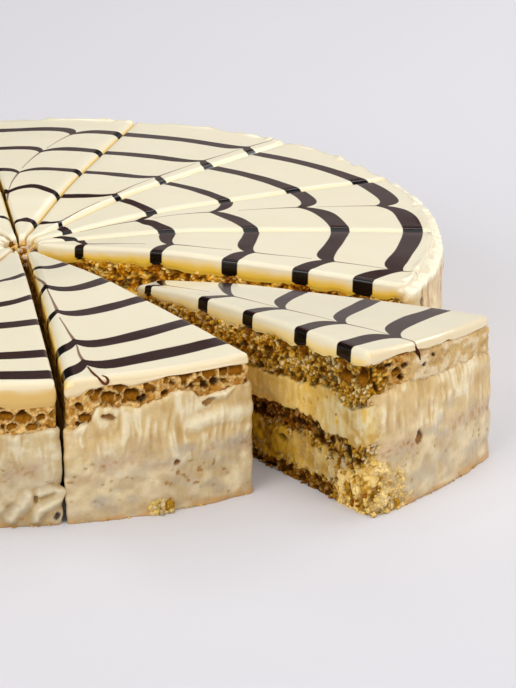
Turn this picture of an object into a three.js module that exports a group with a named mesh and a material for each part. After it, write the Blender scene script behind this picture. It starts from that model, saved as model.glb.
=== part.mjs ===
import * as THREE from 'three';

// A round layered nut cake, cut into wedges, with one wedge drawn part of the way out.
// Sizes are in millimetres and angles in degrees. +Z is up and the cake stands on z = 0.

// The whole cake
const CAKE_RADIUS = 140;
const CAKE_HEIGHT = 45.5;
const DISH_DEPTH = 4;
const DISH_RADIUS = 65;

// Heights at which each layer ends, counted from the bottom
const BASE_TOP = 6;
const CREAM_LOWER_TOP = 14;
const SPONGE_MIDDLE_TOP = 19.5;
const CREAM_UPPER_TOP = 30.5;
const SPONGE_TOP_TOP = 41;
const LAYER_GAP = 0.3;
const LAYER_WAVE = 0.7;
const LAYER_WAVE_LENGTH = 34;
const GLAZE_WAVE = 0.25;
const GLAZE_DRIP = 1.6;
const DRIP_LENGTH = 11;

// Knife cuts round the ring, anticlockwise from the far side of the open slot
const FIRST_CUTS = [-23.3, -0.3, 25.0, 49.7, 76.8, 102.3];
const WIDE_CUT = 280.4;
const SLOT_NEAR_CUT = 305;
const EVEN_SLICES = 7;
const CUT_GAP = 0.8;
const WIDE_CUT_GAP = 2.8;

// The wedge that is drawn out of the slot. Its height is given on its middle line at one reach from its
// apex, and its slope is the rise for each millimetre outwards and across.
const DRAWN_WEDGE_ANGLE = 25.3;
const DRAWN_DIRECTION = -39.2;
const DRAWN_DISTANCE = 37;
const DRAWN_HEIGHT = 47.3;
const DRAWN_HEIGHT_REACH = 95;
const DRAWN_SLOPE = { outwards: 0.06, across: -0.095 };
const DRAWN_SEED = 50;

// Wedge outline
const TIP_HALF_WIDTHS = { ring: 0.9, drawn: 4.8 };
const CORNER_EASE = { inwards: 1.0, across: 0.5 };
const RING_STEPS = { cut: 8, rim: 7 };
const DRAWN_STEPS = { cut: 26, rim: 11 };

// Rounded shoulder of the glaze
const SHOULDER_DROP = 1.5;
const SHOULDER_INSET = 1.0;
const TOP_INSET = 3.4;
const RIM_BULGE = 0.7;

// Relief on the sides
const CRAG_DEPTH = 1.3;
const CRAG_LENGTH = 5;
const CRAG_HEIGHT = 3;
const RIDGE_DEPTH = 0.8;
const RIDGE_LENGTH = 26;
const RIDGE_HEIGHT = 2.6;
const ROOM_SHARE = 0.45;

const toRadians = THREE.MathUtils.degToRad;
const lerp = THREE.MathUtils.lerp;

const FINISHES = {
  sponge: { color: 0xc0924a, roughness: 0.95, metalness: 0 },
  cream: { color: 0xefe1bb, roughness: 0.6, metalness: 0 },
  glaze: { color: 0xf4edd4, roughness: 0.22, metalness: 0 },
};

// A repeatable value from 0 to 1 for one corner of the noise grid.
function cornerValue(column, row, seed) {
  const wave = Math.sin(column * 127.1 + row * 311.7 + seed * 74.7) * 43758.5453;
  return wave - Math.floor(wave);
}

// Smooth noise from -1 to 1.
function smoothNoise(x, y, seed) {
  const column = Math.floor(x);
  const row = Math.floor(y);
  const across = THREE.MathUtils.smoothstep(x - column, 0, 1);
  const up = THREE.MathUtils.smoothstep(y - row, 0, 1);
  const low = lerp(cornerValue(column, row, seed), cornerValue(column + 1, row, seed), across);
  const high = lerp(cornerValue(column, row + 1, seed), cornerValue(column + 1, row + 1, seed), across);
  return lerp(low, high, up) * 2 - 1;
}

// Height of a layer boundary above a point of the wedge. The middle of the cake is a shallow dish.
function boundaryHeight(flatHeight, point, seed) {
  if (flatHeight === 0) {
    return 0;
  }
  const reach = Math.hypot(point.x, point.y);
  const dish = 1 - THREE.MathUtils.smoothstep(reach, 0, DISH_RADIUS);
  const sunk = flatHeight * (1 - dish * DISH_DEPTH / CAKE_HEIGHT);
  if (flatHeight === CAKE_HEIGHT) {
    return sunk + GLAZE_WAVE * smoothNoise(point.x / LAYER_WAVE_LENGTH, point.y / LAYER_WAVE_LENGTH, seed);
  }
  const wave = LAYER_WAVE * smoothNoise(point.x / LAYER_WAVE_LENGTH, point.y / LAYER_WAVE_LENGTH, seed);
  if (flatHeight === SPONGE_TOP_TOP && point.onRim) {
    const drip = GLAZE_DRIP * (smoothNoise(point.along / DRIP_LENGTH, 0, seed) + 1) / 2;
    return sunk + wave - drip;
  }
  return sunk + wave;
}

// One point of a cut face. side is -1 for the clockwise face and 1 for the anticlockwise one.
function cutPoint(halfAngle, side, gap, distance) {
  const sin = Math.sin(halfAngle);
  const cos = Math.cos(halfAngle);
  const x = distance * cos + gap / 2 * sin;
  const y = side * (distance * sin - gap / 2 * cos);
  const room = Math.abs(y) * ROOM_SHARE;
  return { x, y, nx: -sin, ny: side * cos, room, onRim: false };
}

function cutFace(halfAngle, side, gap, tipHalfWidth, steps) {
  const tip = (tipHalfWidth + gap / 2 * Math.cos(halfAngle)) / Math.sin(halfAngle);
  const rim = Math.sqrt(CAKE_RADIUS ** 2 - (gap / 2) ** 2);
  const points = [];
  for (let step = 0; step <= steps; step += 1) {
    points.push(cutPoint(halfAngle, side, gap, lerp(tip, rim, step / steps)));
  }
  const corner = points[steps];
  corner.onRim = true;
  corner.x -= CORNER_EASE.inwards;
  corner.y -= side * CORNER_EASE.across;
  return points;
}

// Outline of a wedge whose middle line is +X, anticlockwise from the tip of its clockwise face.
// Point i lies across the wedge from point count - 1 - i.
function wedgeOutline(halfAngle, gaps, tipHalfWidth, steps, rise) {
  const near = cutFace(halfAngle, -1, gaps.clockwise, tipHalfWidth, steps.cut);
  const far = cutFace(halfAngle, 1, gaps.anticlockwise, tipHalfWidth, steps.cut);
  const nearCorner = near[steps.cut];
  const farCorner = far[steps.cut];
  const startAngle = Math.atan2(nearCorner.y, nearCorner.x);
  const endAngle = Math.atan2(farCorner.y, farCorner.x);
  const rim = [];
  for (let step = 1; step < steps.rim; step += 1) {
    const angle = lerp(startAngle, endAngle, step / steps.rim);
    const nx = Math.cos(angle);
    const ny = Math.sin(angle);
    rim.push({ x: CAKE_RADIUS * nx, y: CAKE_RADIUS * ny, nx, ny, room: CAKE_RADIUS, onRim: true });
  }
  const outline = [...near, ...rim, ...far.reverse()];
  let along = 0;
  outline.forEach((point, index) => {
    const before = outline[Math.max(index - 1, 0)];
    along += Math.hypot(point.x - before.x, point.y - before.y);
    point.along = along;
    point.rise = rise(point);
  });
  return outline;
}

// A point of the outline moved outwards, or inwards as far as the narrow tip has room.
function movedPoint(point, outwards, height) {
  const move = Math.max(outwards, -point.room);
  return new THREE.Vector3(point.x + point.nx * move, point.y + point.ny * move, height * point.rise);
}

// Closed solid through loops of points that lie one above another.
function stackedGeometry(loops) {
  const count = loops[0].length;
  const positions = loops.flat().flatMap((corner) => corner.toArray());
  const triangles = [];
  for (let level = 0; level < loops.length - 1; level += 1) {
    for (let index = 0; index < count; index += 1) {
      const next = (index + 1) % count;
      const low = level * count;
      const high = low + count;
      triangles.push(low + index, low + next, high + next);
      triangles.push(low + index, high + next, high + index);
    }
  }
  const top = (loops.length - 1) * count;
  for (let index = 0; index < count / 2 - 1; index += 1) {
    const across = count - 1 - index;
    triangles.push(index, across - 1, index + 1);
    triangles.push(index, across, across - 1);
    triangles.push(top + index, top + index + 1, top + across - 1);
    triangles.push(top + index, top + across - 1, top + across);
  }
  const geometry = new THREE.BufferGeometry();
  geometry.setAttribute('position', new THREE.Float32BufferAttribute(positions, 3));
  geometry.setIndex(triangles);
  geometry.computeVertexNormals();
  return geometry;
}

// How far a sponge's crumb stands back from the outline.
function cragRelief(point, height, seed) {
  const crag = smoothNoise(point.along / CRAG_LENGTH, height / CRAG_HEIGHT, seed);
  return -CRAG_DEPTH * (crag + 1) / 2;
}

// Shallow ridges that the knife leaves along the cream.
function ridgeRelief(point, height, seed) {
  const ridge = smoothNoise(point.along / RIDGE_LENGTH, height / RIDGE_HEIGHT, seed);
  return -RIDGE_DEPTH * (ridge + 1) / 2;
}

// A layer between two boundaries, with relief on the levels between its flat faces.
function layerGeometry(outline, layer, seed) {
  const lowest = (point) => {
    const gap = layer.from === 0 ? 0 : LAYER_GAP;
    return boundaryHeight(layer.from, point, layer.from) + gap;
  };
  const highest = (point) => boundaryHeight(layer.to, point, layer.to);
  const loops = [];
  const levels = layer.levels;
  for (let level = 0; level <= levels; level += 1) {
    const flat = level === 0 || level === levels;
    loops.push(outline.map((point) => {
      const height = lerp(lowest(point), highest(point), level / levels);
      const outwards = flat ? 0 : layer.relief(point, height, seed + layer.from);
      return movedPoint(point, outwards, height);
    }));
  }
  return stackedGeometry(loops);
}

// The poured glaze: a slab with rolled edges that bulges a little over the rim.
function glazeGeometry(outline) {
  const bottom = (point) => boundaryHeight(SPONGE_TOP_TOP, point, SPONGE_TOP_TOP) + LAYER_GAP;
  const top = (point) => boundaryHeight(CAKE_HEIGHT, point, CAKE_HEIGHT);
  const bulge = (point) => (point.onRim ? RIM_BULGE : 0);
  const loops = [
    outline.map((point) => movedPoint(point, 0, bottom(point))),
    outline.map((point) => movedPoint(point, bulge(point), (bottom(point) + top(point)) / 2)),
    outline.map((point) => movedPoint(point, -SHOULDER_INSET, top(point) - SHOULDER_DROP)),
    outline.map((point) => movedPoint(point, -TOP_INSET, top(point))),
  ];
  return stackedGeometry(loops);
}

// Layers of the wedge that shows its cut side, and of a wedge that stands closed in the ring
const DRAWN_LAYERS = [
  { name: 'base', from: 0, to: BASE_TOP, levels: 3, finish: 'sponge', relief: cragRelief },
  {
    name: 'cream_lower', from: BASE_TOP, to: CREAM_LOWER_TOP, levels: 3, finish: 'cream',
    relief: ridgeRelief,
  },
  {
    name: 'sponge_middle', from: CREAM_LOWER_TOP, to: SPONGE_MIDDLE_TOP, levels: 3, finish: 'sponge',
    relief: cragRelief,
  },
  {
    name: 'cream_upper', from: SPONGE_MIDDLE_TOP, to: CREAM_UPPER_TOP, levels: 3, finish: 'cream',
    relief: ridgeRelief,
  },
  {
    name: 'sponge_top', from: CREAM_UPPER_TOP, to: SPONGE_TOP_TOP, levels: 4, finish: 'sponge',
    relief: cragRelief,
  },
];
const RING_LAYERS = [
  { name: 'base', from: 0, to: BASE_TOP, levels: 2, finish: 'sponge', relief: cragRelief },
  { name: 'filling', from: BASE_TOP, to: CREAM_UPPER_TOP, levels: 4, finish: 'cream', relief: ridgeRelief },
  {
    name: 'sponge_top', from: CREAM_UPPER_TOP, to: SPONGE_TOP_TOP, levels: 3, finish: 'sponge',
    relief: cragRelief,
  },
];

function layerMesh(name, geometry, finish) {
  const mesh = new THREE.Mesh(geometry, new THREE.MeshStandardMaterial(FINISHES[finish]));
  mesh.name = name;
  return mesh;
}

// One wedge with its layers, turned so that its middle line points in the given direction.
function wedge(name, outline, layers, directionDegrees, seed) {
  const group = new THREE.Group();
  for (const layer of layers) {
    group.add(layerMesh(`${name}_${layer.name}`, layerGeometry(outline, layer, seed), layer.finish));
  }
  group.add(layerMesh(`${name}_glaze`, glazeGeometry(outline), 'glaze'));
  group.rotation.z = toRadians(directionDegrees);
  return group;
}

function ringCuts() {
  const cuts = FIRST_CUTS.map((angle) => ({ angle, gap: CUT_GAP }));
  const lastShown = FIRST_CUTS[FIRST_CUTS.length - 1];
  for (let step = 1; step < EVEN_SLICES; step += 1) {
    cuts.push({ angle: lerp(lastShown, WIDE_CUT, step / EVEN_SLICES), gap: CUT_GAP });
  }
  cuts.push({ angle: WIDE_CUT, gap: WIDE_CUT_GAP });
  cuts.push({ angle: SLOT_NEAR_CUT, gap: CUT_GAP });
  return cuts;
}

function ringSlices() {
  const cuts = ringCuts();
  const group = new THREE.Group();
  for (let index = 0; index < cuts.length - 1; index += 1) {
    const start = cuts[index];
    const end = cuts[index + 1];
    const halfAngle = toRadians(end.angle - start.angle) / 2;
    const gaps = { clockwise: start.gap, anticlockwise: end.gap };
    const outline = wedgeOutline(halfAngle, gaps, TIP_HALF_WIDTHS.ring, RING_STEPS, () => 1);
    const name = `slice_${String(index + 1).padStart(2, '0')}`;
    group.add(wedge(name, outline, RING_LAYERS, (start.angle + end.angle) / 2, index));
  }
  return group;
}

// The top of the drawn wedge slants up towards its rim and its clockwise side.
function drawnRise(point) {
  const outwards = DRAWN_SLOPE.outwards * (point.x - DRAWN_HEIGHT_REACH);
  return (DRAWN_HEIGHT + outwards + DRAWN_SLOPE.across * point.y) / CAKE_HEIGHT;
}

function drawnSlice() {
  const halfAngle = toRadians(DRAWN_WEDGE_ANGLE) / 2;
  const gaps = { clockwise: 0, anticlockwise: 0 };
  const outline = wedgeOutline(halfAngle, gaps, TIP_HALF_WIDTHS.drawn, DRAWN_STEPS, drawnRise);
  const slice = wedge('drawn', outline, DRAWN_LAYERS, DRAWN_DIRECTION, DRAWN_SEED);
  const direction = toRadians(DRAWN_DIRECTION);
  slice.position.set(DRAWN_DISTANCE * Math.cos(direction), DRAWN_DISTANCE * Math.sin(direction), 0);
  return slice;
}

const cake = new THREE.Group();
cake.add(ringSlices());
cake.add(drawnSlice());

// The origin is the middle of the footprint, at the bottom.
cake.updateMatrixWorld(true);
const footprint = new THREE.Box3().setFromObject(cake, true).getCenter(new THREE.Vector3());
cake.position.set(-footprint.x, -footprint.y, 0);

export default cake;
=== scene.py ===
import math
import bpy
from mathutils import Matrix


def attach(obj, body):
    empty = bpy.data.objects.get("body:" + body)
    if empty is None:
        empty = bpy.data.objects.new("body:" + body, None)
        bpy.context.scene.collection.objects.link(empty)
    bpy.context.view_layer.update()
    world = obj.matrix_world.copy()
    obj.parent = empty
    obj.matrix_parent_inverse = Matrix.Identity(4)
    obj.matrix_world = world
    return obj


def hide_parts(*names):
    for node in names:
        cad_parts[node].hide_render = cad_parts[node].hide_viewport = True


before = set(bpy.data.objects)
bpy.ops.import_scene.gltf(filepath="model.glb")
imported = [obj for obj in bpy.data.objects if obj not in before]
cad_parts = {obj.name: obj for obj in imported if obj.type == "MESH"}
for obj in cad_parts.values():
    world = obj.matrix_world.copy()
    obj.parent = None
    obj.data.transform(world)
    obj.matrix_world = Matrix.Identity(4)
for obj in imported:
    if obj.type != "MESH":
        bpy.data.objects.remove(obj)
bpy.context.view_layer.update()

from types import SimpleNamespace

import bpy
import numpy as np
from mathutils import Matrix, Vector

# A round layered nut cake, cut into wedges, with one wedge drawn part of the way out.
# Shapes are worked out in millimetres and turned into metres when a mesh is made.

MM = 0.001

# The whole cake, as the solids have it
CAKE_RADIUS = 140.0
CAKE_HEIGHT = 45.5
DISH_DEPTH = 4.0
DISH_RADIUS = 65.0
BASE_TOP = 6.0
CREAM_LOWER_TOP = 14.0
SPONGE_MIDDLE_TOP = 19.5
CREAM_UPPER_TOP = 30.5
SPONGE_TOP_TOP = 41.0
LEVELS = (0.0, BASE_TOP, CREAM_LOWER_TOP, SPONGE_MIDDLE_TOP, CREAM_UPPER_TOP, SPONGE_TOP_TOP, CAKE_HEIGHT)
LAYER_WAVE = 0.7
LAYER_WAVE_LENGTH = 34.0
GLAZE_WAVE = 0.25
GLAZE_DRIP = 1.6
DRIP_LENGTH = 11.0

# Knife cuts round the ring in degrees, anticlockwise from the far side of the open slot
FIRST_CUTS = (-23.3, -0.3, 25.0, 49.7, 76.8, 102.3)
WIDE_CUT = 280.4
SLOT_NEAR_CUT = 305.0
EVEN_SLICES = 7
CUT_GAP = 0.8
WIDE_CUT_GAP = 2.8

# The drawn wedge: its height on its middle line at one reach from its apex, and the slope of its top
DRAWN_WEDGE_ANGLE = 25.3
DRAWN_DIRECTION = -39.2
DRAWN_DISTANCE = 37.0
DRAWN_HEIGHT = 47.3
DRAWN_HEIGHT_REACH = 95.0
DRAWN_SLOPE_OUTWARDS = 0.06
DRAWN_SLOPE_ACROSS = -0.095
DRAWN_SEED = 50

RING_TIP_HALF_WIDTH = 0.9
DRAWN_TIP_HALF_WIDTH = 4.8
OPEN_CORNER = 3.0
CLOSED_CORNER = 1.2
BEND_STEPS = 7

# The middle of the ring in the part's own frame
RING_CENTRE = np.array([-6.28, 0.0125])


# Looks of the wedges. Edges and gold go by places on the rim, in millimetres from its clockwise corner,
# and the painted light of an open cut, as shares of red, green and blue, by the distance from the middle of
# the cake:
# it brightens a cut where it lies in shade in the slot, and dims it where it is well lit near the corner.

PLAIN_LOOK = dict(
    far_corner=None, proud=1.2, streaked=True, coat_tone=1.0, coat_roll=1.1,
    coat_edge=((0, 43.6), (62, 43.6)), cut_tone=((0, 1, 1, 1), (140, 1, 1, 1)),
    glaze_edge=((0, 40.0), (62, 40.0)), glaze_proud=1.0, glaze_lift=0.0, bead=1.1,
    gold_cut=1.0, gold_rim=0.35, gold_lift=0.0, rolled_gold=((0, 0.1), (62, 0.1)),
    feather_sway=0.4, feather_width=1.0)

OWN_LOOKS = {
    "slice_01": dict(
        proud=2.6, cut_tone=((0, 1.42, 1.32, 0.9), (140, 1.42, 1.32, 0.9)),
        glaze_edge=((0, 40.5), (62, 40.5)), glaze_proud=1.4, glaze_lift=-0.7),
    "slice_02": dict(proud=2.4, glaze_edge=((0, 40.5), (62, 40.5)), glaze_proud=1.4),
    "slice_12": dict(
        proud=0.2, streaked=False, coat_tone=0.73,
        coat_edge=((0, 33.5), (30, 32.0), (42, 30.5), (50, 29.8), (56, 30.8), (62, 31.2)),
        glaze_edge=((0, 38.5), (30, 38.0), (62, 37.5)), glaze_proud=0.4, bead=0.05,
        gold_rim=0.9, gold_lift=0.3, rolled_gold=((0, 0.3), (62, 0.3))),
    "slice_13": dict(
        far_corner=1.4, proud=0.2, streaked=False, coat_tone=0.85,
        coat_edge=((0, 30.5), (4, 31.0), (6.5, 32.6), (9, 36.4), (15.6, 36.4), (22, 35.0), (25.4, 36.2),
                   (34.7, 38.8), (38.6, 37.4), (42, 35.4), (46, 34.6), (49.6, 35.2), (53, 36.4), (58, 36.0)),
        glaze_edge=((0, 39.6), (4, 40.3), (8, 42.2), (16, 42.6), (21, 41.2), (25, 42.2), (31, 43.0),
                    (41, 43.0), (50, 42.8), (55, 42.4), (58, 42.0)),
        glaze_proud=0.1, bead=0.05, rolled_gold=((0, 0.45), (25, 0.4), (58, 0.35)),
        feather_sway=1.3, feather_width=1.25),
    "drawn": dict(
        proud=0.2, streaked=False, coat_tone=0.94, coat_roll=5.0,
        coat_edge=((0, 31.5), (8, 34.0), (14, 35.2), (22, 34.8), (39, 35.0), (62, 34.4)),
        cut_tone=((70, 1.28, 1.25, 1.15), (88, 1.18, 1.16, 1.1), (105, 0.87, 0.87, 0.84),
                  (122, 0.72, 0.72, 0.72), (132, 0.78, 0.78, 0.78), (140, 0.96, 0.95, 0.94)),
        glaze_edge=((0, 41.1), (5, 42.0), (12.5, 43.0), (23, 42.6), (33, 42.8), (45, 42.4), (60, 42.2)),
        glaze_proud=0.0, glaze_lift=0.2, bead=0.1, gold_cut=0.65, rolled_gold=((0, 0.4), (60, 0.32))),
}

# Each feather of the web: angle at its inner end, angle at the rim, which way it drags, and how far
FEATHERS = {
    "slice_13": (-76.4, -75.4, -1, 6.0),
    "drawn": (-43.8, -44.0, 1, 6.0),
    "slice_01": (-14.5, -18.2, 1, 4.0),
    "slice_02": (20.5, 11.0, -1, 5.5),
    "slice_04": (56.0, 52.0, 1, 4.0),
    "slice_05": (103.0, 81.0, -1, 5.5),
    "slice_06": (116.0, 113.0, 1, 4.5),
    "slice_07": (139.0, 142.0, -1, 5.5),
    "slice_08": (168.0, 164.0, 1, 4.5),
    "slice_09": (190.0, 192.0, -1, 5.5),
    "slice_10": (219.0, 216.0, 1, 4.5),
    "slice_11": (241.0, 243.0, -1, 5.5),
    "slice_12": (268.0, 265.0, 1, 4.5),
}


# Plain sums

def blend(first, second, share):
    return first * (1 - share) + second * share


def ease(value, low, high):
    share = np.clip((value - low) / (high - low), 0.0, 1.0)
    return share * share * (3.0 - 2.0 * share)


def hump(value, middle, width):
    return np.exp(-((value - middle) / width) ** 2)


def rolled(distance, reach):
    """From 0 to 1 over a quarter round of the given reach."""
    return np.sqrt(np.clip(1 - (1 - np.clip(distance / reach, 0, 1)) ** 2, 0, 1))


def at_bends(place, bends):
    """Value at a place, from pairs of place and value with straight runs between them."""
    return np.interp(place, *zip(*bends))


def path_lengths(points):
    return np.cumsum(np.linalg.norm(np.diff(points, axis=0, prepend=points[:1]), axis=1))


# Noise

NOISE_SCALE = 1.5
# Shifts of the seed for what is drawn in each cell
CELL_ACROSS, CELL_UP, CELL_TONE, CELL_HEIGHT = 0.37, 1.73, 2.91, 4.13
SIDE_SEED = 9.0


def corner_value(column, row, seed):
    wave = np.sin(column * 127.1 + row * 311.7 + seed * 74.7) * 43758.5453
    return wave - np.floor(wave)


def smooth_noise(x, y, seed):
    """Smooth noise from -1 to 1, the same as the solids use for their waves."""
    x, y = np.broadcast_arrays(np.asarray(x, float), np.asarray(y, float))
    column = np.floor(x)
    row = np.floor(y)
    across = ease(x - column, 0.0, 1.0)
    low, high = (
        blend(corner_value(column, row + up, seed), corner_value(column + 1, row + up, seed), across)
        for up in (0, 1))
    return blend(low, high, ease(y - row, 0.0, 1.0)) * 2 - 1


def layered_noise(x, y, seed, octaves=3):
    total = 0.0
    for octave in range(octaves):
        scale = 2.0 ** octave
        total = total + smooth_noise(x * scale, y * scale, seed + 17 * octave) / scale
    return total / NOISE_SCALE


def neighbour_cells(x, y):
    """Indices of the cell that holds each point, and of the eight cells round it."""
    for across in (-1, 0, 1):
        for up in (-1, 0, 1):
            yield np.floor(x) + across, np.floor(y) + up


def round_spots(x, y, cell, seed, share, small, large):
    """Depth in millimetres of round hollows scattered one to a cell. Sizes are radii."""
    depth = np.zeros(np.broadcast(x, y).shape)
    for i, j in neighbour_cells(x / cell, y / cell):
        middle_x = (i + corner_value(i, j, seed + CELL_ACROSS)) * cell
        middle_y = (j + corner_value(i, j, seed + CELL_UP)) * cell
        radius = small + (large - small) * corner_value(i, j, seed + CELL_TONE) ** 1.5
        present = corner_value(i, j, seed + CELL_HEIGHT) < share
        inside = radius ** 2 - (x - middle_x) ** 2 - (y - middle_y) ** 2
        depth = np.maximum(depth, np.where(present, np.sqrt(np.maximum(inside, 0.0)), 0.0))
    return depth


def crumb_cells(x, y, cell, seed):
    """Crumbs of one size: distance to the gap round each, and a tone and a height for each."""
    nearest = np.full(np.broadcast(x, y).shape, 9.0)
    second = nearest.copy()
    tone = np.zeros_like(nearest)
    height = np.zeros_like(nearest)
    for i, j in neighbour_cells(x / cell, y / cell):
        across = i + corner_value(i, j, seed + CELL_ACROSS) - x / cell
        up = j + corner_value(i, j, seed + CELL_UP) - y / cell
        distance = np.hypot(across, up)
        closer = distance < nearest
        second = np.where(closer, nearest, np.minimum(second, distance))
        tone = np.where(closer, corner_value(i, j, seed + CELL_TONE), tone)
        height = np.where(closer, corner_value(i, j, seed + CELL_HEIGHT), height)
        nearest = np.minimum(nearest, distance)
    return SimpleNamespace(gap=second - nearest, tone=tone, height=height)


def crumb_tops(cells, level, reach=0.5):
    """Crumbs higher or lower than a level by their own heights, falling away to the gaps."""
    return (cells.height - level) * ease(cells.gap, 0.0, reach)


class Field:
    """Patterns on a side of a wedge, by the way along it and the height. Each has a number of its own."""

    def __init__(self, wedge, s, z):
        self.s, self.z, self.seed = s, z, wedge.seed * SIDE_SEED

    def wave(self, width, height, number):
        return smooth_noise(self.s / width, self.z / height, self.seed + number)

    def cloud(self, width, height, number, octaves=2):
        return layered_noise(self.s / width, self.z / height, self.seed + number, octaves)

    def spots(self, number, cell, share, small, large, across=0.0, up=0.0, squeeze=1.0):
        x, y = self.s + across, (self.z + up) * squeeze
        return round_spots(x, y, cell, self.seed + number, share, small, large)

    def crumbs(self, number, cell, across=0.0, up=0.0, squeeze=1.0):
        return crumb_cells(self.s + across, (self.z + up) * squeeze, cell, self.seed + number)


# Colours are display values from 0 to 255, turned into linear light

def linear(red, green, blue):
    display = np.array([red, green, blue]) / 255.0
    return np.where(display <= 0.04045, display / 12.92, ((display + 0.055) / 1.055) ** 2.4)


# Painted shade for the gaps, pits and holes of the crumb
SPONGE_SHADE = linear(58, 28, 0)
SPONGE_BROWN = linear(154, 94, 10)
SPONGE_GOLD = linear(212, 152, 34)
SPONGE_PALE = linear(242, 198, 84)
NUT_PINK = linear(228, 182, 104)
NUT_WHITE = linear(250, 226, 170)
AMBER = linear(114, 66, 2)
# Painted light on the lower part of a hollow
AMBER_PAINTED_LIGHT = linear(164, 108, 24)
BUBBLE_WALL = linear(220, 182, 116)
BUBBLE_GOLD = linear(168, 112, 32)
BLOCK_STAIN = linear(112, 58, 0)
CRUMBLE_PALE = linear(234, 198, 114)
CRUMBLE_GOLD = linear(188, 138, 36)
CRUMBLE_DARK = linear(112, 68, 4)
BARE_CRUMB = linear(222, 200, 162)
BARE_GOLD = linear(188, 150, 92)
CREAM = linear(242, 212, 144)
CREAM_LIGHT = linear(252, 234, 182)
CREAM_TAN = linear(214, 168, 78)
CREAM_YELLOW = linear(222, 176, 66)
# Painted shade in the pits of the cream
CREAM_PIT_SHADE = linear(128, 78, 6)
# Painted golden bounce light for the cream deep in the slot
CREAM_PAINTED_BOUNCE = linear(252, 206, 104)
# The lower cream: partly its own golden colour, partly painted shade deep in the slot
CREAM_LOW_SHADED = linear(166, 118, 4)
CREAM_LOW = linear(200, 152, 24)
COAT = linear(228, 200, 144)
COAT_LIGHT = linear(250, 236, 198)
COAT_WHITE = linear(244, 234, 208)
COAT_TAN = linear(194, 154, 90)
COAT_FILM = linear(190, 168, 130)
COAT_GREY = linear(184, 172, 154)
COAT_PINK = linear(204, 172, 136)
COAT_GOLD = linear(196, 148, 60)
COAT_STREAK = linear(184, 124, 84)
CRUST_TAN = linear(204, 152, 86)
FLECK = linear(170, 118, 40)
GLAZE_IVORY = linear(239, 231, 206)
GLAZE_SHADE = linear(237, 226, 196)
# The gold stain in two copies, brighter for the cut sides and darker for the rims, as painted light and
# shade; the rim copy also paints shade on the rolled rim.
GLAZE_GOLD = linear(244, 202, 72)
GLAZE_RIM_GOLD_AND_SHADE = linear(206, 164, 78)
CHOCOLATE = linear(46, 19, 12)
# Painted shade: the chocolate on the glaze's sides is darker than on its top.
CHOCOLATE_SIDE_SHADE = linear(14, 9, 8)
CHOCOLATE_RUN = linear(64, 28, 16)
CHOCOLATE_CURL = linear(96, 50, 28)
FEATHER_BROWN = linear(104, 50, 30)
FLOOR_PALE = linear(214, 212, 216)
FLOOR_LIGHT = linear(218, 216, 220)


def painted(colour, *coats):
    """A colour under further ones, each with the share of it that shows."""
    for coat, share in coats:
        colour = blend(colour, coat, np.asarray(share)[..., None])
    return colour


# Wedges. In a wedge's own frame the middle line is the x axis, and its near cut is the clockwise one.

def new_wedge(name, direction, width, gaps, is_open, seed, front):
    turn = math.radians(direction)
    drawn = name == "drawn"
    distance = DRAWN_DISTANCE if drawn else 0.0
    return SimpleNamespace(
        name=name, direction=turn, half=math.radians(width) / 2, gaps=gaps, open=is_open, seed=seed,
        front=front, drawn=drawn, offset=distance * np.array([math.cos(turn), math.sin(turn)]),
        tip_half_width=DRAWN_TIP_HALF_WIDTH if drawn else RING_TIP_HALF_WIDTH, feather=FEATHERS.get(name),
        **{**PLAIN_LOOK, **OWN_LOOKS.get(name, {})})


def all_wedges():
    hidden = np.linspace(FIRST_CUTS[-1], WIDE_CUT, EVEN_SLICES + 1)[1:-1]
    cuts = [(angle, CUT_GAP) for angle in (*FIRST_CUTS, *hidden)]
    cuts += [(WIDE_CUT, WIDE_CUT_GAP), (SLOT_NEAR_CUT, CUT_GAP)]
    last = len(cuts) - 2
    wedges = []
    for index, ((start, gap), (end, next_gap)) in enumerate(zip(cuts, cuts[1:])):
        wedges.append(new_wedge(
            f"slice_{index + 1:02d}", (start + end) / 2, end - start, (gap, next_gap),
            (index == 0, index == last), index, index in (0, 1, last - 1, last)))
    wedges.append(new_wedge(
        "drawn", DRAWN_DIRECTION, DRAWN_WEDGE_ANGLE, (0.0, 0.0), (True, True), DRAWN_SEED, True))
    return wedges


def wedge_rise(wedge, x, y):
    """How much taller a wedge stands at a point than the ring does."""
    if not wedge.drawn:
        return np.ones(np.shape(x))
    outwards = DRAWN_SLOPE_OUTWARDS * (x - DRAWN_HEIGHT_REACH)
    return (DRAWN_HEIGHT + outwards + DRAWN_SLOPE_ACROSS * y) / CAKE_HEIGHT


def placed(wedge, x, y, z):
    """Points of a wedge's own frame, in millimetres, as points of the part in metres."""
    cos, sin = math.cos(wedge.direction), math.sin(wedge.direction)
    shift = wedge.offset + RING_CENTRE
    height = z * wedge_rise(wedge, x, y)
    return np.stack([x * cos - y * sin + shift[0], x * sin + y * cos + shift[1], height], axis=-1) * MM


def corner_rounding(wedge, side):
    if side > 0 and wedge.far_corner:
        return wedge.far_corner
    return OPEN_CORNER if wedge.open[side > 0] else CLOSED_CORNER


def on_circle(angle):
    return CAKE_RADIUS * np.stack([np.cos(angle), np.sin(angle)], axis=-1)


def cut_line(wedge, side, spacing):
    gap = wedge.gaps[side > 0]
    sin, cos = math.sin(wedge.half), math.cos(wedge.half)
    tip = (wedge.tip_half_width + gap / 2 * cos) / sin
    rim = math.sqrt(CAKE_RADIUS ** 2 - (gap / 2) ** 2) - corner_rounding(wedge, side)
    count = max(2, int(round((rim - tip) / spacing)))
    distance = np.linspace(tip, rim, count + 1)
    return np.stack([distance * cos + gap / 2 * sin, side * (distance * sin - gap / 2 * cos)], axis=1)


def bent_corner(start, corner, end):
    share = np.linspace(0, 1, BEND_STEPS + 2)[1:-1, None]
    return start * (1 - share) ** 2 + corner * 2 * share * (1 - share) + end * share ** 2


TIP_SIDE = 2
TIP_ROOM = 3.0
CUT_ROOM = 0.45
RIM_ROOM = 20.0


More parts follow.
